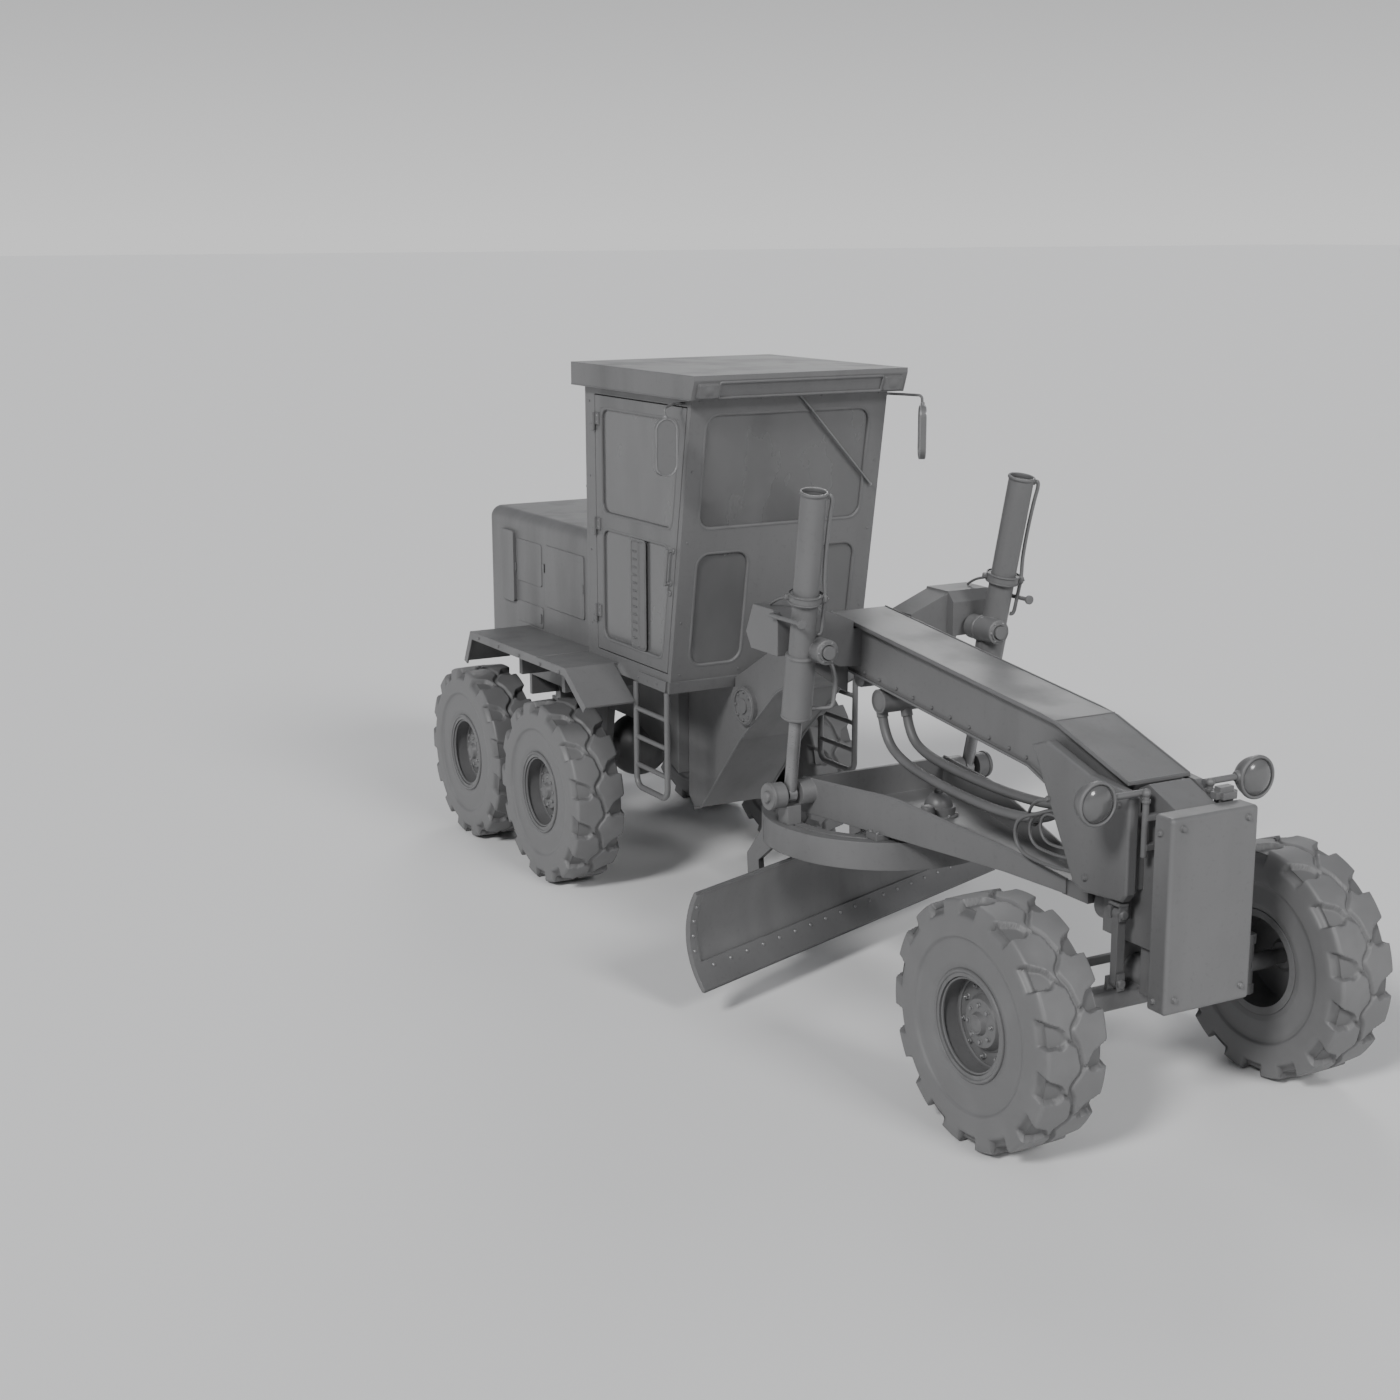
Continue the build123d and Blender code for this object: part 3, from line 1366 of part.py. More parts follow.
window_in = 85.0
# upper and lower light of a door: columns are low z, top z
door_lights = [(belt_z + 70, door_top_z - 80), (door_low_z + 80, belt_z - 35)]
vent_w = 170.0
handle_r = 11.0
handle_out = 42.0
handle_low_z = door_mid_z - 273
handle_h = 236.0
for name, side in right_left:
    with BuildPart() as door:
        with BuildSketch(side_plane(side * cab_half_w)):
            add(outline(raked(door_rear_x, door_low_z, door_top_z, front_in - 5 - door_gap)))
            for low, top in door_lights:
                add(outline(raked(door_rear_x + window_in, low, top,
                                  front_in - door_gap - window_in)), mode=Mode.SUBTRACT)
        extrude(amount=side * cab_wall)
        # slotted vent strip down the lower light
        with BuildSketch(side_plane(side * cab_half_w)):
            low, top = door_lights[1]
            with Locations((-950, (low + top) / 2)):
                Rectangle(vent_w, top - low + 16)
        extrude(amount=side * glass_inset)
        # grab handle at the front edge
        for z in (handle_low_z + handle_r, handle_low_z + handle_h - 15):
            with BuildSketch(side_plane(side * cab_half_w)):
                with Locations((front_line_x(z) + front_in - 52, z)):
                    Circle(handle_r)
            extrude(amount=-side * handle_out)
        with BuildSketch(Plane(
            origin=(
                front_line_x(handle_low_z) + front_in - 52, side * (cab_half_w + handle_out), handle_low_z,
            ),
            x_dir=(0, 1, 0), z_dir=(cab_front_slope, 0, 1),
        )):
            Circle(handle_r)
        extrude(amount=handle_h)
        # hinge knuckles on the rear edge
        for z in hinge_z:
            with BuildSketch(Plane.XY.offset(z)):
                with Locations((door_rear_x, side * (cab_half_w + hinge_r))):
                    Circle(hinge_r)
                with Locations((door_rear_x + 32, side * (cab_half_w + 4))):
                    Rectangle(64, 8)
                with Locations((door_rear_x, side * (cab_half_w + hinge_r))):
                    Circle(hinge_pin_r + running_gap, mode=Mode.SUBTRACT)
            extrude(amount=hinge_h)
    save(door, f"door_{name}")

    with BuildPart() as door_glass:
        with BuildSketch(side_plane(side * (cab_half_w - glass_inset))):
            for low, top in door_lights:
                add(outline(raked(door_rear_x + window_in + 0.2, low + 0.2, top - 0.2,
                                  front_in - door_gap - window_in - 0.2)))
        extrude(amount=side * glass_t)
    save(door_glass, f"door_glass_{name}")

with BuildPart() as cab_glass:
    with BuildSketch(front_face.offset(-glass_inset)):
        for y, z, w, h, r in front_windows:
            with Locations((y, (z - cab_low_z) / cos(radians(rake)))):
                RectangleRounded(w - 0.4, h - 0.4, r)
    extrude(amount=-glass_t)
    with BuildSketch(Plane.YZ.offset(cab_rear_x + glass_inset)):
        y, z, w, h, r = rear_window
        with Locations((y, z)):
            RectangleRounded(w - 0.4, h - 0.4, r)
    extrude(amount=glass_t)
save(cab_glass, "cab_glass")

mirror_y = cab_half_w + 223
mirror_z = cab_top_z - 370
mirror_arm_z = cab_top_z - 128
mirror_h = 350.0
mirror_w = 150.0
with BuildPart() as mirrors:
    # columns are side, turn of the head: the left mirror is folded towards the cab
    for side, turn in ((-1, 0), (1, 61)):
        with BuildLine() as arm_path:
            FilletPolyline(
                (-320, side * cab_half_w, mirror_arm_z), (-320, side * (cab_half_w + 75), mirror_arm_z),
                (-160, side * mirror_y, mirror_arm_z - 7), (-150, side * mirror_y, mirror_arm_z - 82),
                radius=25,
            )
        with BuildSketch(Plane(origin=arm_path.line @ 0, z_dir=arm_path.line % 0)):
            Circle(9)
        sweep(path=arm_path.line)
        facing = (-cos(radians(turn)), -sin(radians(turn)), 0)
        head = Plane(origin=(-150, side * mirror_y, mirror_z), x_dir=(facing[1], -facing[0], 0), z_dir=facing)
        with BuildSketch(head):
            SlotOverall(mirror_h, mirror_w, rotation=90)
        extrude(amount=16, both=True)
save(mirrors, "mirrors")

seat_x = -1300.0
with BuildPart() as seat:
    with Locations((seat_x, 0, 1650)):
        Box(300, 300, 160)
    with Locations((seat_x, 0, 1790)):
        Box(480, 480, 120)
    with BuildSketch(side_plane()):
        add(outline([
            (seat_x - 240, 1850), (seat_x - 150, 1850), (seat_x - 230, 2390), (seat_x - 300, 2390),
        ]))
    extrude(amount=230, both=True)
save(seat, "seat")

with BuildPart() as console:
    with BuildSketch(side_plane()):
        add(outline([
            (-760, 1570), (-640, 1570), (-620, 2160), (-700, 2250), (-780, 2240),
        ]))
    extrude(amount=170, both=True)
    with BuildSketch(Plane(origin=(-800, 0, 2300), x_dir=(0, 1, 0), z_dir=(-0.5, 0, 0.87))):
        Circle(205)
        Circle(180, mode=Mode.SUBTRACT)
        Rectangle(380, 26)
    extrude(amount=22)
    with BuildSketch(Plane(origin=(-800, 0, 2300), x_dir=(0, 1, 0), z_dir=(-0.5, 0, 0.87))):
        Circle(26)
    extrude(amount=-110)
    for k in range(6):
        y = (-150 + 20 * k) if k < 3 else (110 + 20 * (k - 3))
        with BuildSketch(Plane.XY.offset(2230)):
            with Locations((-740, y)):
                Circle(7)
        extrude(amount=150)
save(console, "console")

with BuildPart() as lamp_lenses:
    for name, side in right_left:
        with BuildSketch(front_plane(lamp_x + 45 + 0.5)):
            with Locations((side * lamp_y, lamp_z)):
                Circle(98)
        extrude(amount=12)
save(lamp_lenses, "lamp_lenses")

# Hoses hung between the drum and the beam

for node, route in hose_routes.items():
    radii = corner_radii(route)
    print(node, "bend radii", [round(r) for r in radii])
    with BuildPart() as hose:
        with BuildLine() as hose_path:
            FilletPolyline(*route, radius=radii)
        with BuildSketch(Plane(origin=hose_path.line @ 0, z_dir=hose_path.line % 0)):
            Circle(hose_r)
        sweep(path=hose_path.line)
    print(node, "length", round(sum(run.length for run in hose_path.line.edges())))
    save(hose, node)
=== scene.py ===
# %% [markdown]
# A small motor grader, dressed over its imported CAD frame. The frame already holds the large shapes at their
# real size and the bodies that move, so nothing here is placed by eye. This script adds what the CAD leaves
# out: finishes, tyre tread, bolts, pipes, seals and thin trim.
# %% Load the frame
import math

import bmesh
import bpy
from mathutils import Matrix, Vector


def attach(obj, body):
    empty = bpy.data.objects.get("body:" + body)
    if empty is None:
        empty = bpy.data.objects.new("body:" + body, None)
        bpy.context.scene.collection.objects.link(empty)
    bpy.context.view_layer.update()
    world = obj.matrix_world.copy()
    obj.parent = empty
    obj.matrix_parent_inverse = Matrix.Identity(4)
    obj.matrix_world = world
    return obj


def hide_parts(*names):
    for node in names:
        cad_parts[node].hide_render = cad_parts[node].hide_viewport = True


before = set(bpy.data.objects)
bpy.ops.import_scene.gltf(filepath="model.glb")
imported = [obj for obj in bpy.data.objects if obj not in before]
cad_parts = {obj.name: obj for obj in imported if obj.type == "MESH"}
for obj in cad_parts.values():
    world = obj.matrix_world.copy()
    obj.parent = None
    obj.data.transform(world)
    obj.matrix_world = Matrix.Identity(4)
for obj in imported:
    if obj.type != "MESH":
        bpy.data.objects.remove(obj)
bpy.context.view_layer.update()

# %% [markdown]
# The camera comes first, because every later comparison depends on it. Its place and its lens were fitted
# to the tyres, the plate and the cab in the photograph. Three angles could aim it, but two directions, the
# way it looks and the way it takes for upright, are easier to read, and cross products make them square.
# %% Place the camera
camera_data = bpy.data.cameras.new("camera")
camera_data.sensor_width = 36.0
camera_data.lens = 53.58
camera_data.clip_end = 900.0
camera = bpy.data.objects.new("camera", camera_data)
bpy.context.scene.collection.objects.link(camera)
camera_place = Vector((10.8615, -6.8519, 4.4099))
ahead = Vector((-0.85328, 0.47262, -0.22031)).normalized()
right = ahead.cross(Vector((-0.19099, 0.10988, 0.97542))).normalized()
above = right.cross(ahead).normalized()
turn = Matrix((right, above, -ahead)).transposed().to_4x4()
camera.matrix_world = Matrix.Translation(camera_place) @ turn
bpy.context.scene.camera = camera
print("camera at", [round(c, 2) for c in camera_place])

# %% [markdown]
# The drawing's lengths run from a datum 85 mm behind the middle of the machine. row() turns a point of the
# drawing, in millimetres, into the frame's metres, so the places below can be read beside the CAD source.
# %% Names for places and new objects
MM = 0.001
SIDES = (("right", -1), ("left", 1))


def row(x, y, z):
    """A point of the drawing in millimetres as a point of the frame in metres."""
    return Vector(((x - 85.0) * MM, y * MM, z * MM))


def linked(name, data):
    """A new object of that name in the scene."""
    thing = bpy.data.objects.new(name, data)
    bpy.context.scene.collection.objects.link(thing)
    return thing


def settled(thing):
    """The object's shape with its modifiers and curve bevels worked out, as a plain mesh."""
    graph = bpy.context.evaluated_depsgraph_get()
    return bpy.data.meshes.new_from_object(thing.evaluated_get(graph))


SLIM = 0.1  # radius of a line's points, kept small because Blender adds it to the line's box


def smooth_line(name, points, thick, order=3):
    """A round NURBS line through its control points, in metres, open and reaching both ends."""
    data = bpy.data.curves.new(name, "CURVE")
    data.dimensions = "3D"
    spline = data.splines.new("NURBS")
    spline.points.add(len(points) - 1)
    for knot, place in zip(spline.points, points):
        knot.co = (*place, 1)
        knot.radius = SLIM
    spline.order_u = order
    spline.use_endpoint_u = True
    spline.resolution_u = 10
    data.bevel_depth = thick / 2 / SLIM
    data.bevel_resolution = 4
    data.use_fill_caps = True
    return linked(name, data)


print("helpers ready; the drawing's datum lies at x =", round(row(0, 0, 0).x, 3))

# %% [markdown]
# The two supply hoses hang from the drum under the beam to the glands at the nose. They are stiff rubber, so
# each is one NURBS line, which bends evenly between a few control points where a chain of arcs would kink.
# The points are the CAD route's own, and each line replaces its CAD node. The thin hoses bundled behind the
# nose cover are shorter lines whose both ends go into the nose.
# %% Hoses
hose_data = {
    "hose_right": (1.893, 0.058, [
        (0.915, -0.110, 1.600), (0.950, -0.110, 1.480), (1.095, -0.108, 1.385), (1.345, -0.105, 1.335),
        (1.675, -0.100, 1.305), (2.025, -0.098, 1.295), (2.335, -0.095, 1.325), (2.535, -0.092, 1.400),
        (2.645, -0.090, 1.490),
    ]),
    "hose_left": (1.798, 0.058, [
        (0.965, 0.030, 1.600), (1.000, 0.030, 1.490), (1.135, 0.032, 1.415), (1.385, 0.035, 1.380),
        (1.715, 0.038, 1.362), (2.045, 0.040, 1.360), (2.345, 0.042, 1.385), (2.545, 0.044, 1.450),
        (2.645, 0.045, 1.500),
    ]),
}
hoses = []
for name, (length, thick, points) in hose_data.items():
    hose = smooth_line(f"{name}_line", points, thick)
    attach(hose, "frame")
    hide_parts(name)
    hoses.append(hose)
loop_data = {
    "hose_loop_large": (1.472, 0.022, [
        (2.965, -0.210, 1.478), (2.875, -0.193, 1.482), (2.775, -0.188, 1.484), (2.615, -0.186, 1.462),
        (2.475, -0.184, 1.400), (2.359, -0.184, 1.362), (2.300, -0.184, 1.303), (2.300, -0.184, 1.221),
        (2.359, -0.184, 1.162), (2.475, -0.184, 1.150), (2.635, -0.186, 1.152), (2.775, -0.188, 1.168),
        (2.875, -0.193, 1.180), (2.965, -0.210, 1.190),
    ]),
    "hose_loop_middle": (1.277, 0.017, [
        (2.975, -0.211, 1.446), (2.895, -0.192, 1.448), (2.795, -0.167, 1.450), (2.635, -0.164, 1.430),
        (2.535, -0.163, 1.404), (2.445, -0.163, 1.385), (2.395, -0.163, 1.335), (2.395, -0.163, 1.265),
        (2.445, -0.163, 1.215), (2.555, -0.163, 1.208), (2.675, -0.164, 1.214), (2.795, -0.167, 1.232),
        (2.895, -0.192, 1.244), (2.975, -0.211, 1.248),
    ]),
    "hose_loop_small": (0.982, 0.0165, [
        (2.960, -0.208, 1.400), (2.865, -0.192, 1.410), (2.765, -0.188, 1.420), (2.655, -0.187, 1.430),
        (2.563, -0.187, 1.428), (2.517, -0.187, 1.382), (2.517, -0.187, 1.318), (2.563, -0.187, 1.272),
        (2.655, -0.187, 1.268), (2.765, -0.188, 1.285), (2.865, -0.192, 1.300), (2.960, -0.208, 1.315),
    ]),
}
for name, (length, thick, points) in loop_data.items():
    loop = smooth_line(name, points, thick)
    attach(loop, "frame")
    hoses.append(loop)
print("hoses:", [hose.name for hose in hoses])

# %% [markdown]
# A plain pale floor runs to a sky that is pale near the horizon and darker overhead, so faces turned up and
# faces turned aside don't look alike. Area lamps would leave bright pools on the floor, so three distant soft
# lights reach all of it alike: the strongest from the machine's right, as in the photograph, a weaker one
# from the front, and one from behind that lifts the upper edges.
# %% Floor and light
floor_data = bpy.data.meshes.new("floor")
reach = 400.0
floor_data.from_pydata(
    [(-reach, -reach, 0), (reach, -reach, 0), (reach, reach, 0), (-reach, reach, 0)], [], [(0, 1, 2, 3)]
)
floor = linked("floor", floor_data)


def soft_sun(name, way, spread, strength):
    """A distant light that shines along way and is spread degrees wide, so its shadows are soft."""
    light_data = bpy.data.lights.new(name, "SUN")
    light_data.energy = strength
    light_data.angle = math.radians(spread)
    light = linked(name, light_data)
    light.location = (0, 0, 8)
    light.rotation_euler = Vector(way).to_track_quat("-Z", "Y").to_euler()


soft_sun("key_light", (-0.42, 0.76, -0.64), 12, 2.2)
soft_sun("front_light", (-0.90, -0.10, -0.56), 16, 1.35)
soft_sun("back_light", (0.75, -0.55, -0.60), 20, 0.55)

world = bpy.data.worlds.new("studio")
world.use_nodes = True
sky = world.node_tree.nodes["Background"]
sky.inputs["Strength"].default_value = 0.88
heading = world.node_tree.nodes.new("ShaderNodeTexCoord")
parts = world.node_tree.nodes.new("ShaderNodeSeparateXYZ")
rise = world.node_tree.nodes.new("ShaderNodeMapRange")
rise.inputs["From Max"].default_value = 0.26
tint = world.node_tree.nodes.new("ShaderNodeMix")
tint.data_type = "RGBA"
tint.inputs[6].default_value = (1.0, 1.0, 1.0, 1)
tint.inputs[7].default_value = (0.26, 0.265, 0.28, 1)
for source, socket in (
    (heading.outputs["Generated"], parts.inputs["Vector"]), (parts.outputs["Z"], rise.inputs["Value"]),
    (rise.outputs["Result"], tint.inputs[0]), (tint.outputs[2], sky.inputs["Color"]),
):
    world.node_tree.links.new(source, socket)
bpy.context.scene.world = world

floor_material = bpy.data.materials.new("pale_floor")
floor_material.use_nodes = True
floor_shader = floor_material.node_tree.nodes["Principled BSDF"]
floor_shader.inputs["Base Color"].default_value = (0.80, 0.80, 0.80, 1)
floor_shader.inputs["Roughness"].default_value = 0.95
floor_data.materials.append(floor_material)

# %% [markdown]
# Everything in the photograph is the same grey, as on a study model, so the finishes differ in gloss, grain
# and wear more than in colour. Each is a node tree over object coordinates, which need no unwrapping and stay
# with a piece as it moves. Written out node by node the trees would be long, so one small class holds a tree
# and offers the few nodes that all of them use.
# %% A builder for finishes
GREY = 0.150  # share of the light that the common grey gives back
finishes = {}


def shade(value):
    """A grey of that value as a colour."""
    return (value, value, value * 1.01, 1)


class Finish:
    """A material built as a node tree, with short names for the nodes that every finish uses."""

    def __init__(self, name):
        self.material = bpy.data.materials.new(name)
        self.material.use_nodes = True
        self.tree = self.material.node_tree
        self.shader = self.tree.nodes["Principled BSDF"]
        self.where = self.tree.nodes.new("ShaderNodeTexCoord").outputs["Object"]

    def link(self, source, socket):
        """Join an output to an input."""
        self.tree.links.new(source, socket)

    def noise(self, scale, detail=4.0, stretch=(1, 1, 1)):
        """Noise over the object's own coordinates, stretched along its axes."""
        mapping = self.tree.nodes.new("ShaderNodeMapping")
        mapping.inputs["Scale"].default_value = stretch
        self.link(self.where, mapping.inputs["Vector"])
        node = self.tree.nodes.new("ShaderNodeTexNoise")
        node.inputs["Scale"].default_value = scale
        node.inputs["Detail"].default_value = detail
        self.link(mapping.outputs["Vector"], node.inputs["Vector"])
        return node.outputs[0]

    def ramp(self, source, low, high, out_low=0.0, out_high=1.0):
        """The source spread from low and high to the given ends, and held there."""
        node = self.tree.nodes.new("ShaderNodeMapRange")
        for socket, value in zip(node.inputs[1:5], (low, high, out_low, out_high)):
            socket.default_value = value
        self.link(source, node.inputs[0])
        return node.outputs[0]

    def blend(self, share, first, second):
        """Colour between two colours or outputs, by a share."""
        node = self.tree.nodes.new("ShaderNodeMix")
        node.data_type = "RGBA"
        self.link(share, node.inputs[0])
        for socket, value in ((node.inputs[6], first), (node.inputs[7], second)):
            if isinstance(value, tuple):
                socket.default_value = value
            else:
                self.link(value, socket)
        return node.outputs[2]

    def product(self, first, second):
        """Product of two outputs."""
        node = self.tree.nodes.new("ShaderNodeMath")
        node.operation = "MULTIPLY"
        self.link(first, node.inputs[0])
        self.link(second, node.inputs[1])
        return node.outputs[0]

    def rounded(self, radius):
        """Normal with the corners rounded, and how near a corner each point is."""
        bevel = self.tree.nodes.new("ShaderNodeBevel")
        bevel.samples = 4
        bevel.inputs["Radius"].default_value = radius
        flat = self.tree.nodes.new("ShaderNodeNewGeometry")
        cosine = self.tree.nodes.new("ShaderNodeVectorMath")
        cosine.operation = "DOT_PRODUCT"
        self.link(bevel.outputs["Normal"], cosine.inputs[0])
        self.link(flat.outputs["Normal"], cosine.inputs[1])
        return bevel.outputs["Normal"], self.ramp(cosine.outputs["Value"], 0.995, 0.86)

    def bump(self, height, strength, distance, normal=None):
        """Bump from a height, over an earlier normal."""
        node = self.tree.nodes.new("ShaderNodeBump")
        node.inputs["Strength"].default_value = strength
        node.inputs["Distance"].default_value = distance
        self.link(height, node.inputs["Height"])
        if normal is not None:
            self.link(normal, node.inputs["Normal"])
        return node.outputs["Normal"]


print("finish builder ready for a grey of", GREY)


# %% [markdown]
# The plates are sprayed steel that has worked outdoors: patchy, streaked by rain and rubbed at the corners.
# One flat colour would look like plastic. Three noises of different sizes make the patches, the runs and the
# specks, and a bevel in the shading both rounds the CAD's sharp corners and tells where they are, so that
# the paint can be rubbed there and nowhere else.
# %% Painted plate
def painted(name, base, dark, bare, rough, corner, grain=260.0, dent=0.35, streak=3.0):
    """Painted plate: patchy grey, runs of dirt, rubbed corners, a faint grain and shallow dents."""
    finish = Finish(name)
    patches = finish.ramp(finish.noise(1.1, 5.0), 0.35, 0.68)
    runs = finish.ramp(finish.noise(streak, 6.0, (1, 1, 0.22)), 0.46, 0.74)
    speckle = finish.ramp(finish.noise(34.0, 3.0), 0.58, 0.72)
    normal, near = finish.rounded(corner)
    worn = finish.product(near, finish.ramp(finish.noise(9.0, 6.0), 0.40, 0.62))
    colour = finish.blend(patches, shade(base), shade(base * 0.87))
    colour = finish.blend(finish.ramp(runs, 0, 1, 0, 0.38), colour, shade(dark))
    colour = finish.blend(finish.ramp(speckle, 0, 1, 0, 0.18), colour, shade(dark * 0.8))
    colour = finish.blend(finish.ramp(worn, 0, 1, 0, 0.75), colour, shade(bare))
    finish.link(colour, finish.shader.inputs["Base Color"])
    finish.link(finish.ramp(runs, 0, 1, rough, rough + 0.16), finish.shader.inputs["Roughness"])
    normal = finish.bump(finish.noise(5.0, 2.0), dent, 0.004, normal)
    normal = finish.bump(finish.noise(grain, 2.0), 0.12, 0.0006, normal)
    finish.link(normal, finish.shader.inputs["Normal"])
    return finish.material


finishes["body_paint"] = painted("body_paint_finish", GREY, GREY * 0.62, GREY * 1.22, 0.40, 0.007)
finishes["rim_paint"] = painted("rim_paint_finish", GREY * 0.98, GREY * 0.55, GREY * 1.2, 0.44, 0.004,
                                streak=9.0)
finishes["blade_steel"] = painted("blade_steel_finish", GREY * 0.92, GREY * 0.5, GREY * 1.35, 0.33, 0.005,
                                  dent=0.6)
print("painted finishes:", sorted(finishes))


# %% [markdown]
# Rods, wiper and bolt heads are bare steel. A mirror finish would need surroundings to reflect, and a studio
# has none, so the metal is half dull, with long fine scratches that its roughness and bump share.
# %% Worn steel
def steel(name, base, rough, polish):
    """Bright worn steel with fine scratches round it."""
    finish = Finish(name)
    finish.shader.inputs["Metallic"].default_value = 0.55
    marks = finish.noise(46.0, 5.0, (1, 1, 9))
    patches = finish.ramp(finish.noise(4.0, 4.0), 0.36, 0.66)
    normal, near = finish.rounded(0.002)
    colour = finish.blend(patches, shade(base), shade(base * 0.76))
    colour = finish.blend(finish.ramp(near, 0, 1, 0, 0.5), colour, shade(polish))
    finish.link(colour, finish.shader.inputs["Base Color"])
    finish.link(finish.ramp(marks, 0.3, 0.7, rough, rough + 0.18), finish.shader.inputs["Roughness"])
    finish.link(finish.bump(marks, 0.10, 0.0005, normal), finish.shader.inputs["Normal"])
    return finish.material


finishes["rod_steel"] = steel("rod_steel_finish", 0.27, 0.26, 0.40)
print("steel finish made")


# %% [markdown]
# Tyres and hoses are matt rubber, greyed by dust in patches. Deep in a tread the rubber is painted darker, as
# painted shade where the pockets lie in shadow. The shader could guess that shade from the light, but the
# tyre's mesh will carry an attribute that says how deep each point lies, and reading it is exact from every
# side.
# %% Rubber
def rubber(name, base, rough, shaded_grooves=False):
    """Rubber: matt, dusty in patches, with painted shade down in the tread where there is any."""
    finish = Finish(name)
    dust = finish.ramp(finish.noise(5.0, 6.0), 0.42, 0.70)
    fine = finish.noise(120.0, 3.0)
    colour = finish.blend(dust, shade(base), shade(base * 1.14))
    if shaded_grooves:
        # painted shade: the tread's pockets are darkened by their depth, standing in for the shadow inside
        # them
        depth = finish.tree.nodes.new("ShaderNodeAttribute")
        depth.attribute_name = "cut"
        colour = finish.blend(finish.ramp(depth.outputs["Fac"], 0, 1, 0, 0.45), colour, shade(base * 0.6))
    finish.link(colour, finish.shader.inputs["Base Color"])
    finish.link(finish.ramp(dust, 0, 1, rough, rough + 0.14), finish.shader.inputs["Roughness"])
    finish.link(finish.bump(fine, 0.22, 0.0008), finish.shader.inputs["Normal"])
    return finish.material


finishes["tyre"] = rubber("tyre_finish", GREY * 0.94, 0.46, shaded_grooves=True)
finishes["hose"] = rubber("hose_finish", GREY * 0.84, 0.44)
print("rubber finishes made")


# %% [markdown]
# The panes look nearly as grey as the sheet metal, and the seat behind them is only guessed at. Clear glass
# would open up the cab, so this glass is mostly grey, lets a little light through, and has a glossy coat
# with duller patches where dust was wiped.
# %% Window glass
def pane(name, base):
    """Window pane: smooth grey glass, slightly see-through, with wiped and dusty patches."""
    finish = Finish(name)
    finish.shader.inputs["Transmission Weight"].default_value = 0.22
    finish.shader.inputs["Coat Weight"].default_value = 0.35
    finish.shader.inputs["Coat Roughness"].default_value = 0.06
    dust = finish.ramp(finish.noise(2.2, 5.0, (1, 1, 0.5)), 0.40, 0.72)
    colour = finish.blend(dust, shade(base * 0.86), shade(base * 1.08))
    finish.link(colour, finish.shader.inputs["Base Color"])
    finish.link(finish.ramp(dust, 0, 1, 0.14, 0.38), finish.shader.inputs["Roughness"])
    finish.link(finish.bump(finish.noise(1.6, 1.0), 0.08, 0.003), finish.shader.inputs["Normal"])
    return finish.material


finishes["glazing"] = pane("glazing_finish", GREY * 1.02)
print("glass finish made")


# %% [markdown]
# The seat has a coarse woven cover. Two crossed sets of waves, multiplied, give the weave. A woven pattern
# that follows the cushion would need an unwrapping, which isn't worth it for a seat behind glass.
# %% Seat cloth
def cloth(name, base):
    """Seat cloth: a fine crossed weave with sheen, and worn paler patches."""
    finish = Finish(name)
    finish.shader.inputs["Sheen Weight"].default_value = 0.3
    finish.shader.inputs["Roughness"].default_value = 0.88
    waves = []
    for direction in ("X", "Z"):
        wave = finish.tree.nodes.new("ShaderNodeTexWave")
        wave.bands_direction = direction
        wave.inputs["Scale"].default_value = 120.0
        finish.link(finish.where, wave.inputs["Vector"])
        waves.append(wave.outputs[0])
    weave = finish.product(*waves)
    worn = finish.ramp(finish.noise(6.0, 5.0), 0.4, 0.7)
    colour = finish.blend(worn, shade(base), shade(base * 1.25))
    colour = finish.blend(finish.ramp(weave, 0, 1, 0, 0.35), colour, shade(base * 0.55))
    finish.link(colour, finish.shader.inputs["Base Color"])
    finish.link(finish.bump(weave, 0.5, 0.0012), finish.shader.inputs["Normal"])
    return finish.material


finishes["seat_cover"] = cloth("seat_cover_finish", GREY * 0.8)
print("cloth finish made")

# %% [markdown]
# Every CAD node comes with one plain material named after its slot. Swapping it for the finish of that name
# dresses all of them at once and leaves none out.
# %% Dress the nodes and the hoses
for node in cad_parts.values():
    node.material_slots[0].material = finishes[node.material_slots[0].material.name]
for hose in hoses:
    hose.data.materials.append(finishes["hose"])
print("finishes:", sorted(finishes))

# %% [markdown]
# Rings, collars, caps and pipes are round stock, and they make up most of the small parts. A screw modifier
# or Blender's cylinders would each need an object to place. A profile turned about any line, written straight
# into a mesh, is shorter, and so is a NURBS line with a bevel, kept as a mesh once it is bent.
# %% Turned shapes and pipes
STEPS = 28  # sides of a small round part


def turned(profile, base, along, steps=STEPS, ring=False):
    """Turned shape: profile columns are radius and height in millimetres, on the line from base."""
    axis = Vector(along).normalized()
    side = axis.orthogonal().normalized()
    other = axis.cross(side)
    shape = bmesh.new()
    rings = []
    for radius, height in profile:
        centre = row(*base) + axis * (height * MM)
        if radius == 0:
            rings.append([shape.verts.new(centre)] * steps)
            continue
        angles = [2 * math.pi * k / steps for k in range(steps)]
        spokes = [side * math.cos(a) + other * math.sin(a) for a in angles]
        rings.append([shape.verts.new(centre + spoke * (radius * MM)) for spoke in spokes])
    pairs = list(zip(rings, rings[1:])) + ([(rings[-1], rings[0])] if ring else [])
    for first, second in pairs:
        for k in range(steps):
            around = (k + 1) % steps
            corners = list(dict.fromkeys([first[k], first[around], second[around], second[k]]))
            if len(corners) > 2:
                shape.faces.new(corners)
    return unloaded(shape)


def unloaded(shape):
    """The bmesh as a mesh, with the bmesh freed."""
    mesh = bpy.data.meshes.new("shape")
    shape.to_mesh(mesh)
    shape.free()
    return mesh


def pipe(points, radius, order=3):
    """Bent round pipe through control points of the drawing, in millimetres."""
    line = smooth_line("pipe", [row(*p) for p in points], 2 * radius * MM, order)
    mesh = settled(line)
    curve = line.data
    bpy.data.objects.remove(line)
    bpy.data.curves.remove(curve)
    return mesh


print("turned shapes have", STEPS, "sides")


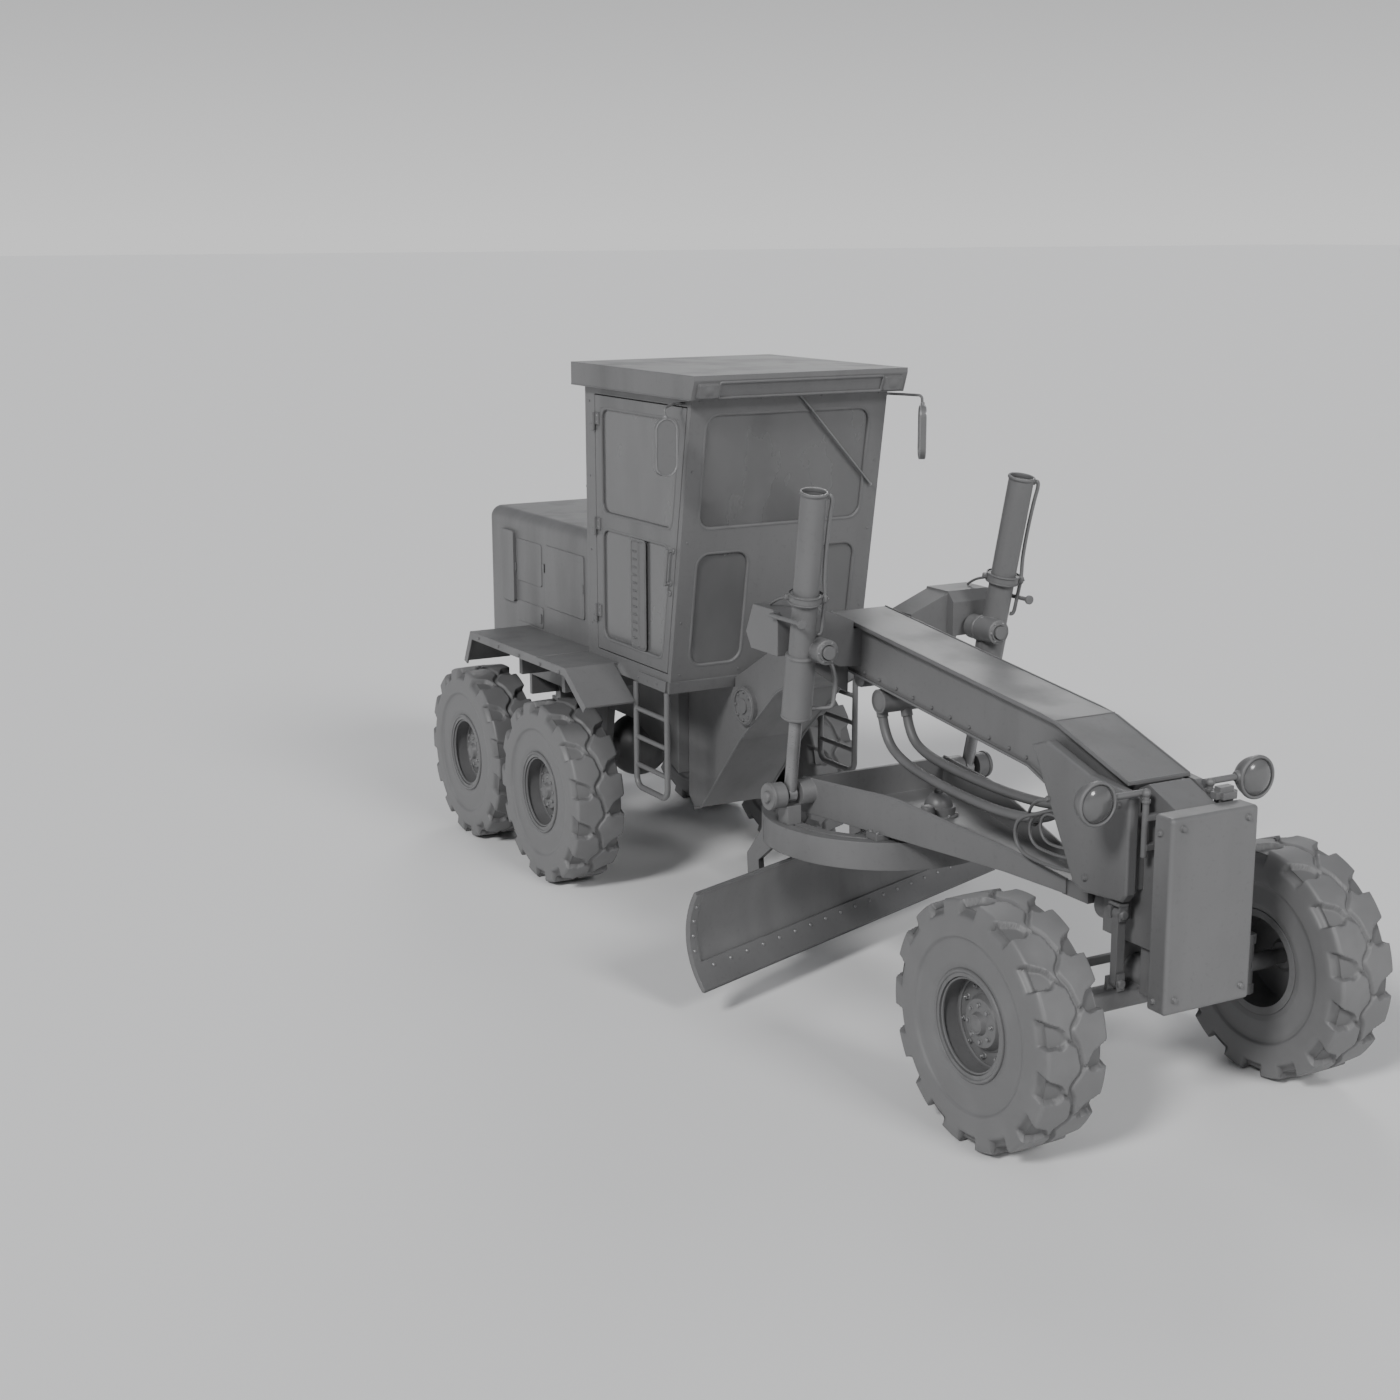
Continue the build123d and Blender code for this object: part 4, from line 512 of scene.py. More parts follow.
# %% [markdown]
# Brackets and covers are cut and folded plate. Their edges are never sharp, and a highlight along an edge is
# what makes a small part look solid, so each block and plate gets a real bevel instead of a shaded one.
# %% Blocks and plates
def placed(origin, x_dir=(1, 0, 0), normal=(0, 0, 1)):
    """Matrix that puts local x, y and outward z at a point of the drawing."""
    out = Vector(normal).normalized()
    across = Vector(x_dir)
    across = (across - out * across.dot(out)).normalized()
    up = out.cross(across)
    turn = Matrix((across, up, out)).transposed().to_4x4()
    return Matrix.Translation(row(*origin)) @ turn


def block(size, place, soft=3.0, segments=2):
    """Block with softened edges: size in millimetres, its middle on the place's origin."""
    shape = bmesh.new()
    bmesh.ops.create_cube(shape, size=1.0)
    bmesh.ops.scale(shape, vec=Vector(size) * MM, verts=shape.verts)
    bmesh.ops.bevel(shape, geom=shape.edges[:], offset=soft * MM, segments=segments, affect="EDGES",
                    clamp_overlap=True)
    shape.transform(place)
    return unloaded(shape)


def cut_out(points, place, thick, soft=2.0):
    """Plate of the given outline, thick millimetres out of the place, its outer edge softened."""
    shape = bmesh.new()
    foot = [shape.verts.new((x * MM, y * MM, 0)) for x, y in points]
    face = shape.faces.new(foot)
    raised = bmesh.ops.extrude_face_region(shape, geom=[face])
    moved = [g for g in raised["geom"] if isinstance(g, bmesh.types.BMVert)]
    bmesh.ops.translate(shape, vec=(0, 0, thick * MM), verts=moved)
    if soft:
        rim = [e for e in shape.edges if all(v in moved for v in e.verts)]
        bmesh.ops.bevel(shape, geom=rim, offset=soft * MM, segments=2, affect="EDGES", clamp_overlap=True)
    shape.transform(place)
    return unloaded(shape)


print("blocks and plates ready")


# %% [markdown]
# Window seals, raised frames and the rims of mirrors all follow an outline with rounded corners. A bevelled
# curve would twist at the corners, so the outline is worked out as points with their outward directions, and
# a section is carried from one to the next.
# %% Rounded outlines and beads
def softened(corners, radius, steps=7):
    """Outline whose corners are rounded: points with their outward directions, counted evenly."""
    found = []
    count = len(corners)
    for k in range(count):
        before, at, after = (Vector(corners[(k + s) % count]) for s in (-1, 0, 1))
        run_in, run_out = (before - at).normalized(), (after - at).normalized()
        half = math.acos(max(-1, min(1, run_in.dot(run_out)))) / 2
        centre = at + (run_in + run_out).normalized() * (radius / math.sin(half))
        first = at + run_in * (radius / math.tan(half)) - centre
        last = at + run_out * (radius / math.tan(half)) - centre
        sweep = first.angle_signed(last)
        for step in range(steps + 1):
            spoke = first.copy()
            spoke.rotate(Matrix.Rotation(-sweep * step / steps, 2))
            found.append((centre + spoke, spoke.normalized()))
    return found


def bead(corners, radius, section, place):
    """Section swept round a softened outline: columns are how far outward, how high above the face."""
    shape = bmesh.new()
    rings = []
    for point, outward in softened(corners, radius):
        ring = [point + outward * out for out, _ in section]
        rings.append([shape.verts.new((p.x * MM, p.y * MM, up * MM)) for p, (_, up) in zip(ring, section)])
    for ring, following in zip(rings, rings[1:] + rings[:1]):
        for k in range(len(section)):
            beside = (k + 1) % len(section)
            shape.faces.new((ring[k], ring[beside], following[beside], following[k]))
    shape.transform(place)
    return unloaded(shape)


print("outlines and beads ready")


# %% [markdown]
# A hundred loose parts would be hard to follow, so the parts that belong together and move together are
# joined into one named piece. Shapes built from loops of points may be inside out, so joining also turns
# their faces outward, and it creases the edges that are sharper than the given angle.
# %% Join shapes into pieces
CREASE = 32  # degrees between faces, past which an edge stays sharp


def joined(meshes, crease, shift=None):
    """One mesh from several shapes, moved by the shift, faces outward and sharp edges creased."""
    shape = bmesh.new()
    for mesh in meshes:
        shape.from_mesh(mesh)
        bpy.data.meshes.remove(mesh)
    if shift:
        shape.transform(shift)
    bmesh.ops.recalc_face_normals(shape, faces=shape.faces)
    whole = unloaded(shape)
    whole.shade_smooth()
    whole.set_sharp_from_angle(angle=math.radians(crease))
    return whole


def piece(name, meshes, body, slot, crease=CREASE):
    """One named mesh from several shapes, riding on a body and taking a finish."""
    whole = joined(meshes, crease)
    whole.name = name
    whole.materials.clear()
    whole.materials.append(finishes[slot])
    thing = linked(name, whole)
    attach(thing, body)
    return thing


print("pieces are creased past", CREASE, "degrees")

# %% [markdown]
# Bolts, nuts, rivets and teeth repeat by the hundred. Copying objects would make a crowded scene, and an
# array can't face many ways. One Geometry Nodes tree sets a modelled item on every point of a carrier mesh,
# turned to the point's own direction and spun by chance, and the result is kept as one plain mesh.
# %% A tree that repeats an item
repeat_tree = bpy.data.node_groups.new("repeat_on_points", "GeometryNodeTree")
repeat_inputs = {
    label: repeat_tree.interface.new_socket(label, in_out="INPUT", socket_type=kind)
    for label, kind in (
        ("Points", "NodeSocketGeometry"), ("Item", "NodeSocketObject"), ("Size", "NodeSocketFloat"),
        ("Spin", "NodeSocketFloat"), ("Seed", "NodeSocketInt"), ("Finish", "NodeSocketMaterial"),
    )
}
repeat_tree.interface.new_socket("Shape", in_out="OUTPUT", socket_type="NodeSocketGeometry")
new, link = repeat_tree.nodes.new, repeat_tree.links.new
given, result = new("NodeGroupInput"), new("NodeGroupOutput")
points = new("GeometryNodeMeshToPoints")
item = new("GeometryNodeObjectInfo")
aim = new("GeometryNodeInputNamedAttribute")
aim.data_type = "FLOAT_VECTOR"
aim.inputs["Name"].default_value = "aim"
facing = new("FunctionNodeAlignRotationToVector")
facing.axis = "Z"
chance = new("FunctionNodeRandomValue")
spun = new("FunctionNodeAxisAngleToRotation")
both = new("FunctionNodeRotateRotation")
both.rotation_space = "LOCAL"
instances = new("GeometryNodeInstanceOnPoints")
real = new("GeometryNodeRealizeInstances")
paint = new("GeometryNodeSetMaterial")
link(given.outputs["Points"], points.inputs["Mesh"])
link(given.outputs["Item"], item.inputs["Object"])
link(aim.outputs["Attribute"], facing.inputs["Vector"])
link(given.outputs["Spin"], chance.inputs[3])
link(given.outputs["Seed"], chance.inputs["Seed"])
link(chance.outputs[1], spun.inputs["Angle"])
link(facing.outputs["Rotation"], both.inputs["Rotation"])
link(spun.outputs["Rotation"], both.inputs["Rotate By"])
link(points.outputs["Points"], instances.inputs["Points"])
link(item.outputs["Geometry"], instances.inputs["Instance"])
link(both.outputs["Rotation"], instances.inputs["Rotation"])
link(given.outputs["Size"], instances.inputs["Scale"])
link(instances.outputs["Instances"], real.inputs["Geometry"])
link(real.outputs["Geometry"], paint.inputs["Geometry"])
link(given.outputs["Finish"], paint.inputs["Material"])
link(paint.outputs["Geometry"], result.inputs["Shape"])


def repeated(name, thing, places, body, slot, size=1.0, spin=6.28, seed=7):
    """The item on every place: columns are the point in the drawing and the way it faces."""
    carrier_mesh = bpy.data.meshes.new(name)
    carrier_mesh.from_pydata([row(*point) for point, _ in places], [], [])
    aims = carrier_mesh.attributes.new("aim", "FLOAT_VECTOR", "POINT")
    aims.data.foreach_set("vector", [c for _, way in places for c in Vector(way).normalized()])
    carrier = linked(name, carrier_mesh)
    modifier = carrier.modifiers.new("repeat", "NODES")
    modifier.node_group = repeat_tree
    for label, value in (("Item", thing), ("Size", size), ("Spin", spin), ("Seed", seed),
                         ("Finish", finishes[slot])):
        modifier[repeat_inputs[label].identifier] = value
    mesh = settled(carrier)
    carrier.modifiers.clear()
    carrier.data = mesh
    bpy.data.meshes.remove(carrier_mesh)
    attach(carrier, body)


print("the repeat tree has", len(repeat_tree.nodes), "nodes")

# %% [markdown]
# An item is modelled once, standing on the origin. A bolt here is a washer, a six-sided head and the end of
# its thread, and a nut the same with a longer stud. A few dozen faces are enough, since there are hundreds.
# %% Items to repeat
ORIGIN = (0, 0, 0)
UP = (0, 0, 1)


def template(name, meshes, crease=CREASE):
    """An item to repeat: a modelled shape at the origin, standing along z, that isn't in the scene."""
    return bpy.data.objects.new(name, joined(meshes, crease, Matrix.Translation(-row(0, 0, 0))))


def round_offsets(count, radius, start=0.0):
    """Offsets of points spread evenly round a circle, the first of them start radians round it."""
    angles = [2 * math.pi * k / count + start for k in range(count)]
    return [(radius * math.cos(a), radius * math.sin(a)) for a in angles]


def hexagon(across, low, high):
    """Six-sided head with its upper corners turned off."""
    r = across / math.sqrt(3)
    return turned([(0, low), (r, low), (r, high - 0.12 * across), (0.86 * r, high), (0, high)], ORIGIN, UP, 6)


bolt = template("bolt_item", [
    turned([(0, 0), (15, 0), (15, 2.2), (14, 3), (0, 3)], ORIGIN, UP, 20),
    hexagon(21, 2.5, 11.5),
    turned([(0, 11), (4, 11), (3.6, 12.2), (0, 12.6)], ORIGIN, UP, 10),
])
nut = template("nut_item", [
    turned([(0, -3), (19, -3), (19, 2.5), (17.5, 4), (0, 4)], ORIGIN, UP, 20),
    hexagon(28, 3.5, 19),
    turned([(0, 15), (8.5, 15), (8.5, 28), (7, 30), (0, 30)], ORIGIN, UP, 14),
])
rivet = template("rivet_item", [
    turned([(0, -1), (9, -1), (9, 0.6), (7.6, 3.4), (4.4, 5.3), (0, 6)], ORIGIN, UP, 16),
], 50)
print("faces of the items:", {thing.name: len(thing.data.polygons) for thing in (bolt, nut, rivet)})

# %% [markdown]
# The tyre is one moulded surface. Its tread has wide blocks parted by round-ended pockets that open at the
# shoulder, a wavy groove round the middle and short slots between the two. Blocks could be set on a smooth
# drum, but their feet would look stuck on. Here a rule says how deep the mould cuts at each place, so every
# groove flows into the rubber beside it.
# %% The rule of the tread
TYRE_R, PITCHES = 630.0, 14
GROOVE, POCKET, SLOT = 17, 25, 15  # depths of the three kinds of cut, in millimetres


def eased(share):
    """Smooth step from 0 to 1."""
    share = min(max(share, 0.0), 1.0)
    return share * share * (3 - 2 * share)


def tread_cut(turn_share, across):
    """Depth in millimetres cut from the tread at a share of the pitch and a place across the tyre."""
    pitch = 2 * math.pi * TYRE_R / PITCHES
    wave = 25 * math.sin(2 * math.pi * turn_share) + 8 * math.sin(4 * math.pi * turn_share + 0.6)
    steep = 2 * math.pi / pitch * (25 * math.cos(2 * math.pi * turn_share)
                                   + 16 * math.cos(4 * math.pi * turn_share + 0.6))
    middle = abs(across - wave) / math.sqrt(1 + steep * steep)
    depth = GROOVE * eased((15.5 - middle) / 8)
    for side, share in ((1, 0.25), (-1, 0.75)):
        out = side * across
        along = ((turn_share - share + 0.5) % 1 - 0.5) * pitch
        lean = 0.30 * (out - 118)
        pocket = math.hypot(along - lean, min(out - 116, 0)) - (57 + 0.20 * max(out - 116, 0))
        depth = max(depth, (POCKET + 0.14 * max(out - 66, 0)) * eased(-pocket / 10))
        if 4 < out < 92:
            slot = abs(along - lean + 0.42 * (80 - out) - 8)
            depth = max(depth, SLOT * eased((13 - slot) / 8) * eased((92 - out) / 12))
    return depth


print("deepest cut near the shoulder:", round(max(tread_cut(k / 40, 160) for k in range(40)), 1), "mm")

# %% [markdown]
# One pitch of the tyre is a net of points. Round the axle it spans one fourteenth of a turn, and across it
# follows the tyre's profile from bead to bead. The rule sinks each point, and its depth is also stored on
# the mesh as the attribute that the rubber finish reads to paint shade down in the tread.
# %% One pitch of the tyre
AROUND = 34  # steps of one pitch round the axle

# profile from the middle to the bead: columns are width, radius, place across, share of the cut
profile = [(162 * k / 25, TYRE_R - 3.2 * (k / 25) ** 2, 162 * k / 25, 1.0) for k in range(26)]
profile += [
    (167, 625.0, 168, 1.0), (172.5, 621.0, 175, 1.0), (177.0, 614.5, 182, 1.0), (179.5, 606, 190, 0.95),
    (181.5, 594, 200, 0.80), (183.5, 579, 214, 0.55), (184.5, 566, 226, 0.30), (185.5, 553, 240, 0.08),
    (187.0, 538, 255, 0), (187.5, 512, 0, 0), (187.5, 476, 0, 0), (187.2, 452, 0, 0), (185.5, 444, 0, 0),
    (177.5, 438, 0, 0), (171.5, 430, 0, 0), (171.0, 405, 0, 0), (172.5, 375, 0, 0), (174.5, 345, 0, 0),
    (175.5, 322, 0, 0), (174.5, 312, 0, 0), (171.0, 304, 0, 0), (170.0, 293, 0, 0), (167.0, 286, 0, 0),
    (162.0, 277, 0, 0), (158.0, 268, 0, 0), (157.0, 258, 0, 0),
]
sides = [(-w, r, -a, share) for w, r, a, share in reversed(profile[1:])] + profile
sector = bmesh.new()
cut_layer = sector.verts.layers.float.new("cut")
columns = []
for k in range(AROUND + 1):
    angle = 2 * math.pi / PITCHES * k / AROUND
    column = []
    for width, radius, across, share in sides:
        depth = share * tread_cut(k / AROUND, across) if share else 0.0
        sink = min(max((abs(width) - 158) / 22, 0), 1)
        w = width - math.copysign(depth * 0.75 * sink, width)
        r = radius - depth * (1 - 0.35 * sink)
        vert = sector.verts.new((r * MM * math.sin(angle), w * MM, -r * MM * math.cos(angle)))
        # the depth kept as cut is read by the tyre finish as painted shade in the tread
        vert[cut_layer] = min(depth / 18, 1)
        column.append(vert)
    columns.append(column)
for first, second in zip(columns, columns[1:]):
    for k in range(len(sides)):
        beside = (k + 1) % len(sides)
        sector.faces.new((first[k], second[k], second[beside], first[beside]))
sector_mesh = unloaded(sector)
sector_mesh.shade_smooth()
print("one pitch of the tyre has", len(sector_mesh.polygons), "faces")

# %% [markdown]
# The pitch repeats fourteen times round the wheel. A second Geometry Nodes tree sets copies of it at equal
# angles, welds their edges so that no seam shows, and moves the tyre to its axle. Its inputs are the count,
# the middle and the angle to start from, so the same tree makes all six tyres.
# %% Turn the pitch into tyres
ring_tree = bpy.data.node_groups.new("turn_round_axle", "GeometryNodeTree")
ring_inputs = {
    label: ring_tree.interface.new_socket(label, in_out="INPUT", socket_type=kind)
    for label, kind in (
        ("Pitch", "NodeSocketGeometry"), ("Count", "NodeSocketInt"), ("Middle", "NodeSocketVector"),
        ("Start", "NodeSocketFloat"), ("Finish", "NodeSocketMaterial"),
    )
}
ring_tree.interface.new_socket("Tyre", in_out="OUTPUT", socket_type="NodeSocketGeometry")
new, link = ring_tree.nodes.new, ring_tree.links.new
given, result = new("NodeGroupInput"), new("NodeGroupOutput")
places = new("GeometryNodePoints")
index = new("GeometryNodeInputIndex")
share = new("ShaderNodeMath")
share.operation = "DIVIDE"
angle = new("ShaderNodeMath")
angle.operation = "MULTIPLY_ADD"
angle.inputs[1].default_value = 2 * math.pi
turn_to = new("FunctionNodeAxisAngleToRotation")
turn_to.inputs["Axis"].default_value = (0, -1, 0)
copies = new("GeometryNodeInstanceOnPoints")
real = new("GeometryNodeRealizeInstances")
weld = new("GeometryNodeMergeByDistance")
weld.inputs["Distance"].default_value = 0.0002
move = new("GeometryNodeTransform")
paint = new("GeometryNodeSetMaterial")
link(given.outputs["Count"], places.inputs["Count"])
link(index.outputs[0], share.inputs[0])
link(given.outputs["Count"], share.inputs[1])
link(share.outputs[0], angle.inputs[0])
link(given.outputs["Start"], angle.inputs[2])
link(angle.outputs[0], turn_to.inputs["Angle"])
link(places.outputs[0], copies.inputs["Points"])
link(given.outputs["Pitch"], copies.inputs["Instance"])
link(turn_to.outputs["Rotation"], copies.inputs["Rotation"])
link(copies.outputs["Instances"], real.inputs["Geometry"])
link(real.outputs["Geometry"], weld.inputs["Geometry"])
link(weld.outputs["Geometry"], move.inputs["Geometry"])
link(given.outputs["Middle"], move.inputs["Translation"])
link(move.outputs["Geometry"], paint.inputs["Geometry"])
link(given.outputs["Finish"], paint.inputs["Material"])
link(paint.outputs["Geometry"], result.inputs["Tyre"])

WHEELS = [
    (f"{place}_{name}", x, side)
    for place, x in (("front", 3245.0), ("middle", -1726.0), ("rear", -3026.0)) for name, side in SIDES
]
WHEEL_Y = 932.0
for name, x, side in WHEELS:
    tyre = linked(f"tyre_{name}_tread", sector_mesh.copy())
    modifier = tyre.modifiers.new("turn_round_axle", "NODES")
    modifier.node_group = ring_tree
    for label, value in (("Count", PITCHES), ("Middle", row(x, side * WHEEL_Y, TYRE_R)), ("Start", 0.11),
                         ("Finish", finishes["tyre"])):
        modifier[ring_inputs[label].identifier] = value
    mesh = settled(tyre)
    tyre.modifiers.clear()
    tyre.data = mesh
    shape = bmesh.new()
    shape.from_mesh(mesh)
    bmesh.ops.recalc_face_normals(shape, faces=shape.faces)
    shape.to_mesh(mesh)
    shape.free()
    mesh.set_sharp_from_angle(angle=math.radians(55))
    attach(tyre, f"wheel_{name}")
    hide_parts(f"tyre_{name}")
print("six tyres,", len(mesh.polygons), "faces each")

# %% [markdown]
# Each wheel gets what the CAD rim leaves out: a lock ring round the flange, a ledge at the foot of the dish,
# a domed hub cap, a valve, ten nuts on the disc and eight bolts on the hub. All the rings are turned about
# the axle, and the nuts and bolts come from the repeat tree, so a wheel is a table of profiles.
# %% Wheel trim
for name, x, side in WHEELS:
    hub = (x, side * WHEEL_Y, TYRE_R)
    out = (0, side, 0)
    piece(f"rim_trim_{name}", [
        turned([(264, 170), (264, 174), (269, 178), (277, 177.5), (282, 173), (282, 170)], hub, out, 72,
               ring=True),
        turned([(244, 150), (244, 158), (238, 162), (231, 160), (229, 150)], hub, out, 72, ring=True),
        turned([(244, 60), (226, 62), (219, 58), (219, 50), (244, 50)], hub, out, 72, ring=True),
        turned([(150, 49), (150, 58), (143, 62), (136, 62), (130, 66), (124, 66), (124, 49)], hub, out, 64,
               ring=True),
        turned([(0, 142), (18, 141), (33, 137), (42, 131), (45, 122), (52, 120), (54, 114), (54, 104)],
               hub, out, 40),
        pipe([(x + 190, side * (WHEEL_Y + 66), 770), (x + 200, side * (WHEEL_Y + 90), 778),
              (x + 206, side * (WHEEL_Y + 126), 783)], 6),
    ], f"wheel_{name}", "rim_paint")
    nuts = [((x + u, side * (WHEEL_Y + 51.5), TYRE_R + v), out) for u, v in round_offsets(10, 185, 0.2)]
    caps = [((x + u, side * (WHEEL_Y + 102.5), TYRE_R + v), out) for u, v in round_offsets(8, 92, 0.1)]
    repeated(f"wheel_nuts_{name}", nut, nuts, f"wheel_{name}", "rod_steel", 0.9)
    repeated(f"hub_bolts_{name}", bolt, caps, f"wheel_{name}", "rod_steel", 0.95)
print("wheel trim on", len(WHEELS), "wheels")

# %% [markdown]
# Every window sits in a rubber bead that laps over the sheet metal and down to the glass. A flat frame would
# leave a dark gap at the glass, so the bead is a whole section, lip and foot, swept round each light. The
# lights of the doors are cut with square corners in the CAD, so small fillets behind the beads round them.
# %% Window beads
RAKE = 0.164  # how far the cab's front leans ahead for each millimetre up
UPRIGHT = 1 / math.sqrt(1 + RAKE * RAKE)
FRONT_FOOT_X, FRONT_FOOT_Z = -535.0, 1510.0
FRONT_WAY = (1, 0, -RAKE)
DOOR_Y = 715


def front_x(z):
    """Outer face of the raked cab front at height z."""
    return FRONT_FOOT_X + RAKE * (z - FRONT_FOOT_Z)


def rectangle(middle, width, low, top):
    """Corners of an upright rectangle."""
    return [(middle - width / 2, low), (middle + width / 2, low), (middle + width / 2, top),
            (middle - width / 2, top)]


RUBBER_LIP = [(-10, -13), (-10, -5), (-8, 0), (-3, 2.5), (5, 2.5), (10, 1), (10, -1), (0, -1), (0, -13)]
front_wall = placed((FRONT_FOOT_X, 0, FRONT_FOOT_Z), (0, 1, 0), FRONT_WAY)
front_lights = [
    rectangle(middle, width, (low - FRONT_FOOT_Z) / UPRIGHT, (top - FRONT_FOOT_Z) / UPRIGHT)
    for middle, width, low, top in ((0, 1200, 2580, 3300), (-400, 380, 1680, 2420), (400, 380, 1680, 2420))
]
piece("window_beads_front", [bead(corners, 90, RUBBER_LIP, front_wall) for corners in front_lights],
      "frame", "hose", 50)
rear_wall = placed((-1705, 0, 0), (0, -1, 0), (-1, 0, 0))
rear_light = rectangle(0, 1060, 2670, 3230)
piece("window_bead_rear", [bead(rear_light, 90, RUBBER_LIP, rear_wall)], "frame", "hose", 50)


def side_wall(side, out=0.0):
    """Upright face of the cab or the hood, seen from outside, at out millimetres from the middle."""
    return placed((0, side * out, 0), (-side, 0, 0), (0, side, 0))


def toward(side, corners):
    """Corners given along the machine, as they lie on that side's face."""
    return [(-side * x, z) for x, z in corners]


CORNER_POINTS = 8  # points that softened() gives each corner
for name, side in SIDES:
    door_face = side_wall(side, DOOR_Y)
    inside_face = door_face @ Matrix.Translation((0, 0, -13 * MM))
    beads, fillets = [], []
    for low, top in ((2570, 3265), (1720, 2465)):
        corners = toward(side, [(-1470, low), (front_x(low) - 132.5, low), (front_x(top) - 132.5, top),
                                (-1470, top)])
        beads.append(bead(corners, 78, RUBBER_LIP, door_face))
        arc = [tuple(point) for point, _ in softened(corners, 78)]
        for k, corner in enumerate(corners):
            bend = arc[CORNER_POINTS * k:CORNER_POINTS * (k + 1)]
            fillets.append(cut_out([corner] + bend, inside_face, 12.8, 0))
    piece(f"door_beads_{name}", beads, f"door_{name}", "hose", 50)
    piece(f"door_corner_fillets_{name}", fillets, f"door_{name}", "body_paint")
print("window beads made")

# %% [markdown]
# The doors carry a tall louvred vent, collars at the feet of the grab handle, a lock and hinge screws. Slots
# cut into the door would mean a new door, so the vent is a plate laid on it, with a raised frame and a row
# of small hoods, which read the same from a few metres.
# %% Door trim
for name, side in SIDES:
    face = side_wall(side, DOOR_Y)
    vent = [tuple(p) for p, _ in softened(toward(side, rectangle(-950, 214, 1728, 2458)), 34)]
    parts = [
        cut_out(vent, face, 4.5, 2),
        bead(toward(side, rectangle(-950, 186, 1746, 2440)), 22,
             [(-3, 3), (-3, 7), (0, 8.5), (3, 7), (3, 3)], face),
    ] + [pipe([(x, side * 720, 1752), (x, side * 720, 2434)], 4, 2) for x in (-950, -938)]
    for z in (2230, 2440):
        x = front_x(z) - 92.5
        parts.append(turned([(0, -2), (19, -2), (19, 4), (16, 8), (12, 10), (0, 10)],
                            (x, side * DOOR_Y, z), (0, side, 0), 24))
    x = front_x(2165) - 92.5
    parts.append(turned([(0, -2), (20, -2), (20, 5), (15, 9), (8, 10), (8, 6), (0, 6)],
                        (x, side * DOOR_Y, 2165), (0, side, 0), 24))
    piece(f"door_trim_{name}", parts, f"door_{name}", "body_paint")
    slots = [block((58, 7, 13), placed((-998, side * 720, 1800 + 52 * k)), 3, 3) for k in range(12)]
    piece(f"door_louvres_{name}", slots, f"door_{name}", "body_paint")
    screws = [((-1555 + shift, side * 723, z + lift), (0, side, 0))
              for z in (1860, 2450.5, 3150) for shift, lift in ((40, 20), (40, 60))]
    repeated(f"hinge_screws_{name}", rivet, screws, f"door_{name}", "rod_steel", 0.8)
print("door trim made")

# %% [markdown]
# The wiper hangs from the top of the windscreen. Its blade has to lie along the arm and flat on the raked
# glass at once, so placed() is given both directions, and the arm is a pipe through a few points that start
# at the pivot.
# %% Wiper
pivot, knee, tip = (-204, -16, 3416), (-207, 49, 3401), (-304, 647, 2798)
arm_run = Vector(tip) - Vector(knee)
blade_middle = Vector(knee) + arm_run * 0.66 - Vector(FRONT_WAY) * 9
piece("wiper", [
    pipe([pivot, (-206, 20, 3413), knee, tuple(Vector(knee) + arm_run * 0.5), tip], 7),
    block((arm_run.length * 0.66, 9, 14), placed(blade_middle, arm_run, FRONT_WAY), 3),
    turned([(0, -22), (21, -22), (21, -6), (16, 4), (9, 9), (0, 10)], pivot, FRONT_WAY, 24),
    turned([(0, -4), (11, -4), (11, 3), (8, 6), (0, 6)], tip, FRONT_WAY, 16),
], "frame", "rod_steel")
print("wiper blade", round(arm_run.length * 0.66), "mm long")

# %% [markdown]
# Under the roof's edge sit two marker lamps with a raised frame between them, and each mirror has a bright
# rim on both faces. All follow rounded outlines, so the bead helper makes them, on the visor's own slant and
# on each mirror's own direction.
# %% Visor lamps and mirror rims
VISOR_X, VISOR_Z, VISOR_WAY = -107.5, 3462, (120, 0, -45)
visor = placed((VISOR_X, 0, VISOR_Z), (0, 1, 0), VISOR_WAY)
lamp_box = [tuple(p) for p, _ in softened(rectangle(0, 150, -50, 48), 14)]
RIDGE = [(-7, -1), (-7, 9), (-4, 13), (4, 13), (8, 9), (8, -1)]
visor_parts = [bead(rectangle(0, 1180, -50, 50), 12, RIDGE, visor)]
for _, side in SIDES:
    visor_parts += [
        cut_out(lamp_box, visor @ Matrix.Translation((side * 0.670, 0, 0)), 22, 6),
        turned([(0, 26), (22, 25), (34, 20), (38, 14), (38, 8), (0, 8)], (VISOR_X, side * 670, VISOR_Z),
               VISOR_WAY, 28),
    ]
piece("visor_lamps", visor_parts, "frame", "body_paint")
mirror_trim = []
oblong = rectangle(0, 148, -174, 174)
for side, swing in ((-1, 0.0), (1, math.radians(61))):
    facing = Vector((-math.cos(swing), -math.sin(swing), 0))
    for way in (1, -1):
        head = placed(tuple(Vector((-150, side * 938, 3130)) + facing * way * 16),
                      (facing.y * way, -facing.x * way, 0), facing * way)
        mirror_trim.append(bead(oblong, 72, [(-9, -3), (-9, 2), (-5, 5), (0, 4), (0.9, 0), (0.9, -3)], head))
    mirror_trim.append(turned([(9, -14), (14, -12), (14, 10), (11, 14), (9, 14)], (-150, side * 938, 3308),
                              UP, 24, ring=True))
piece("mirror_rims", mirror_trim, "frame", "rod_steel")
print("visor and mirror trim:", len(visor_parts) + len(mirror_trim), "shapes")

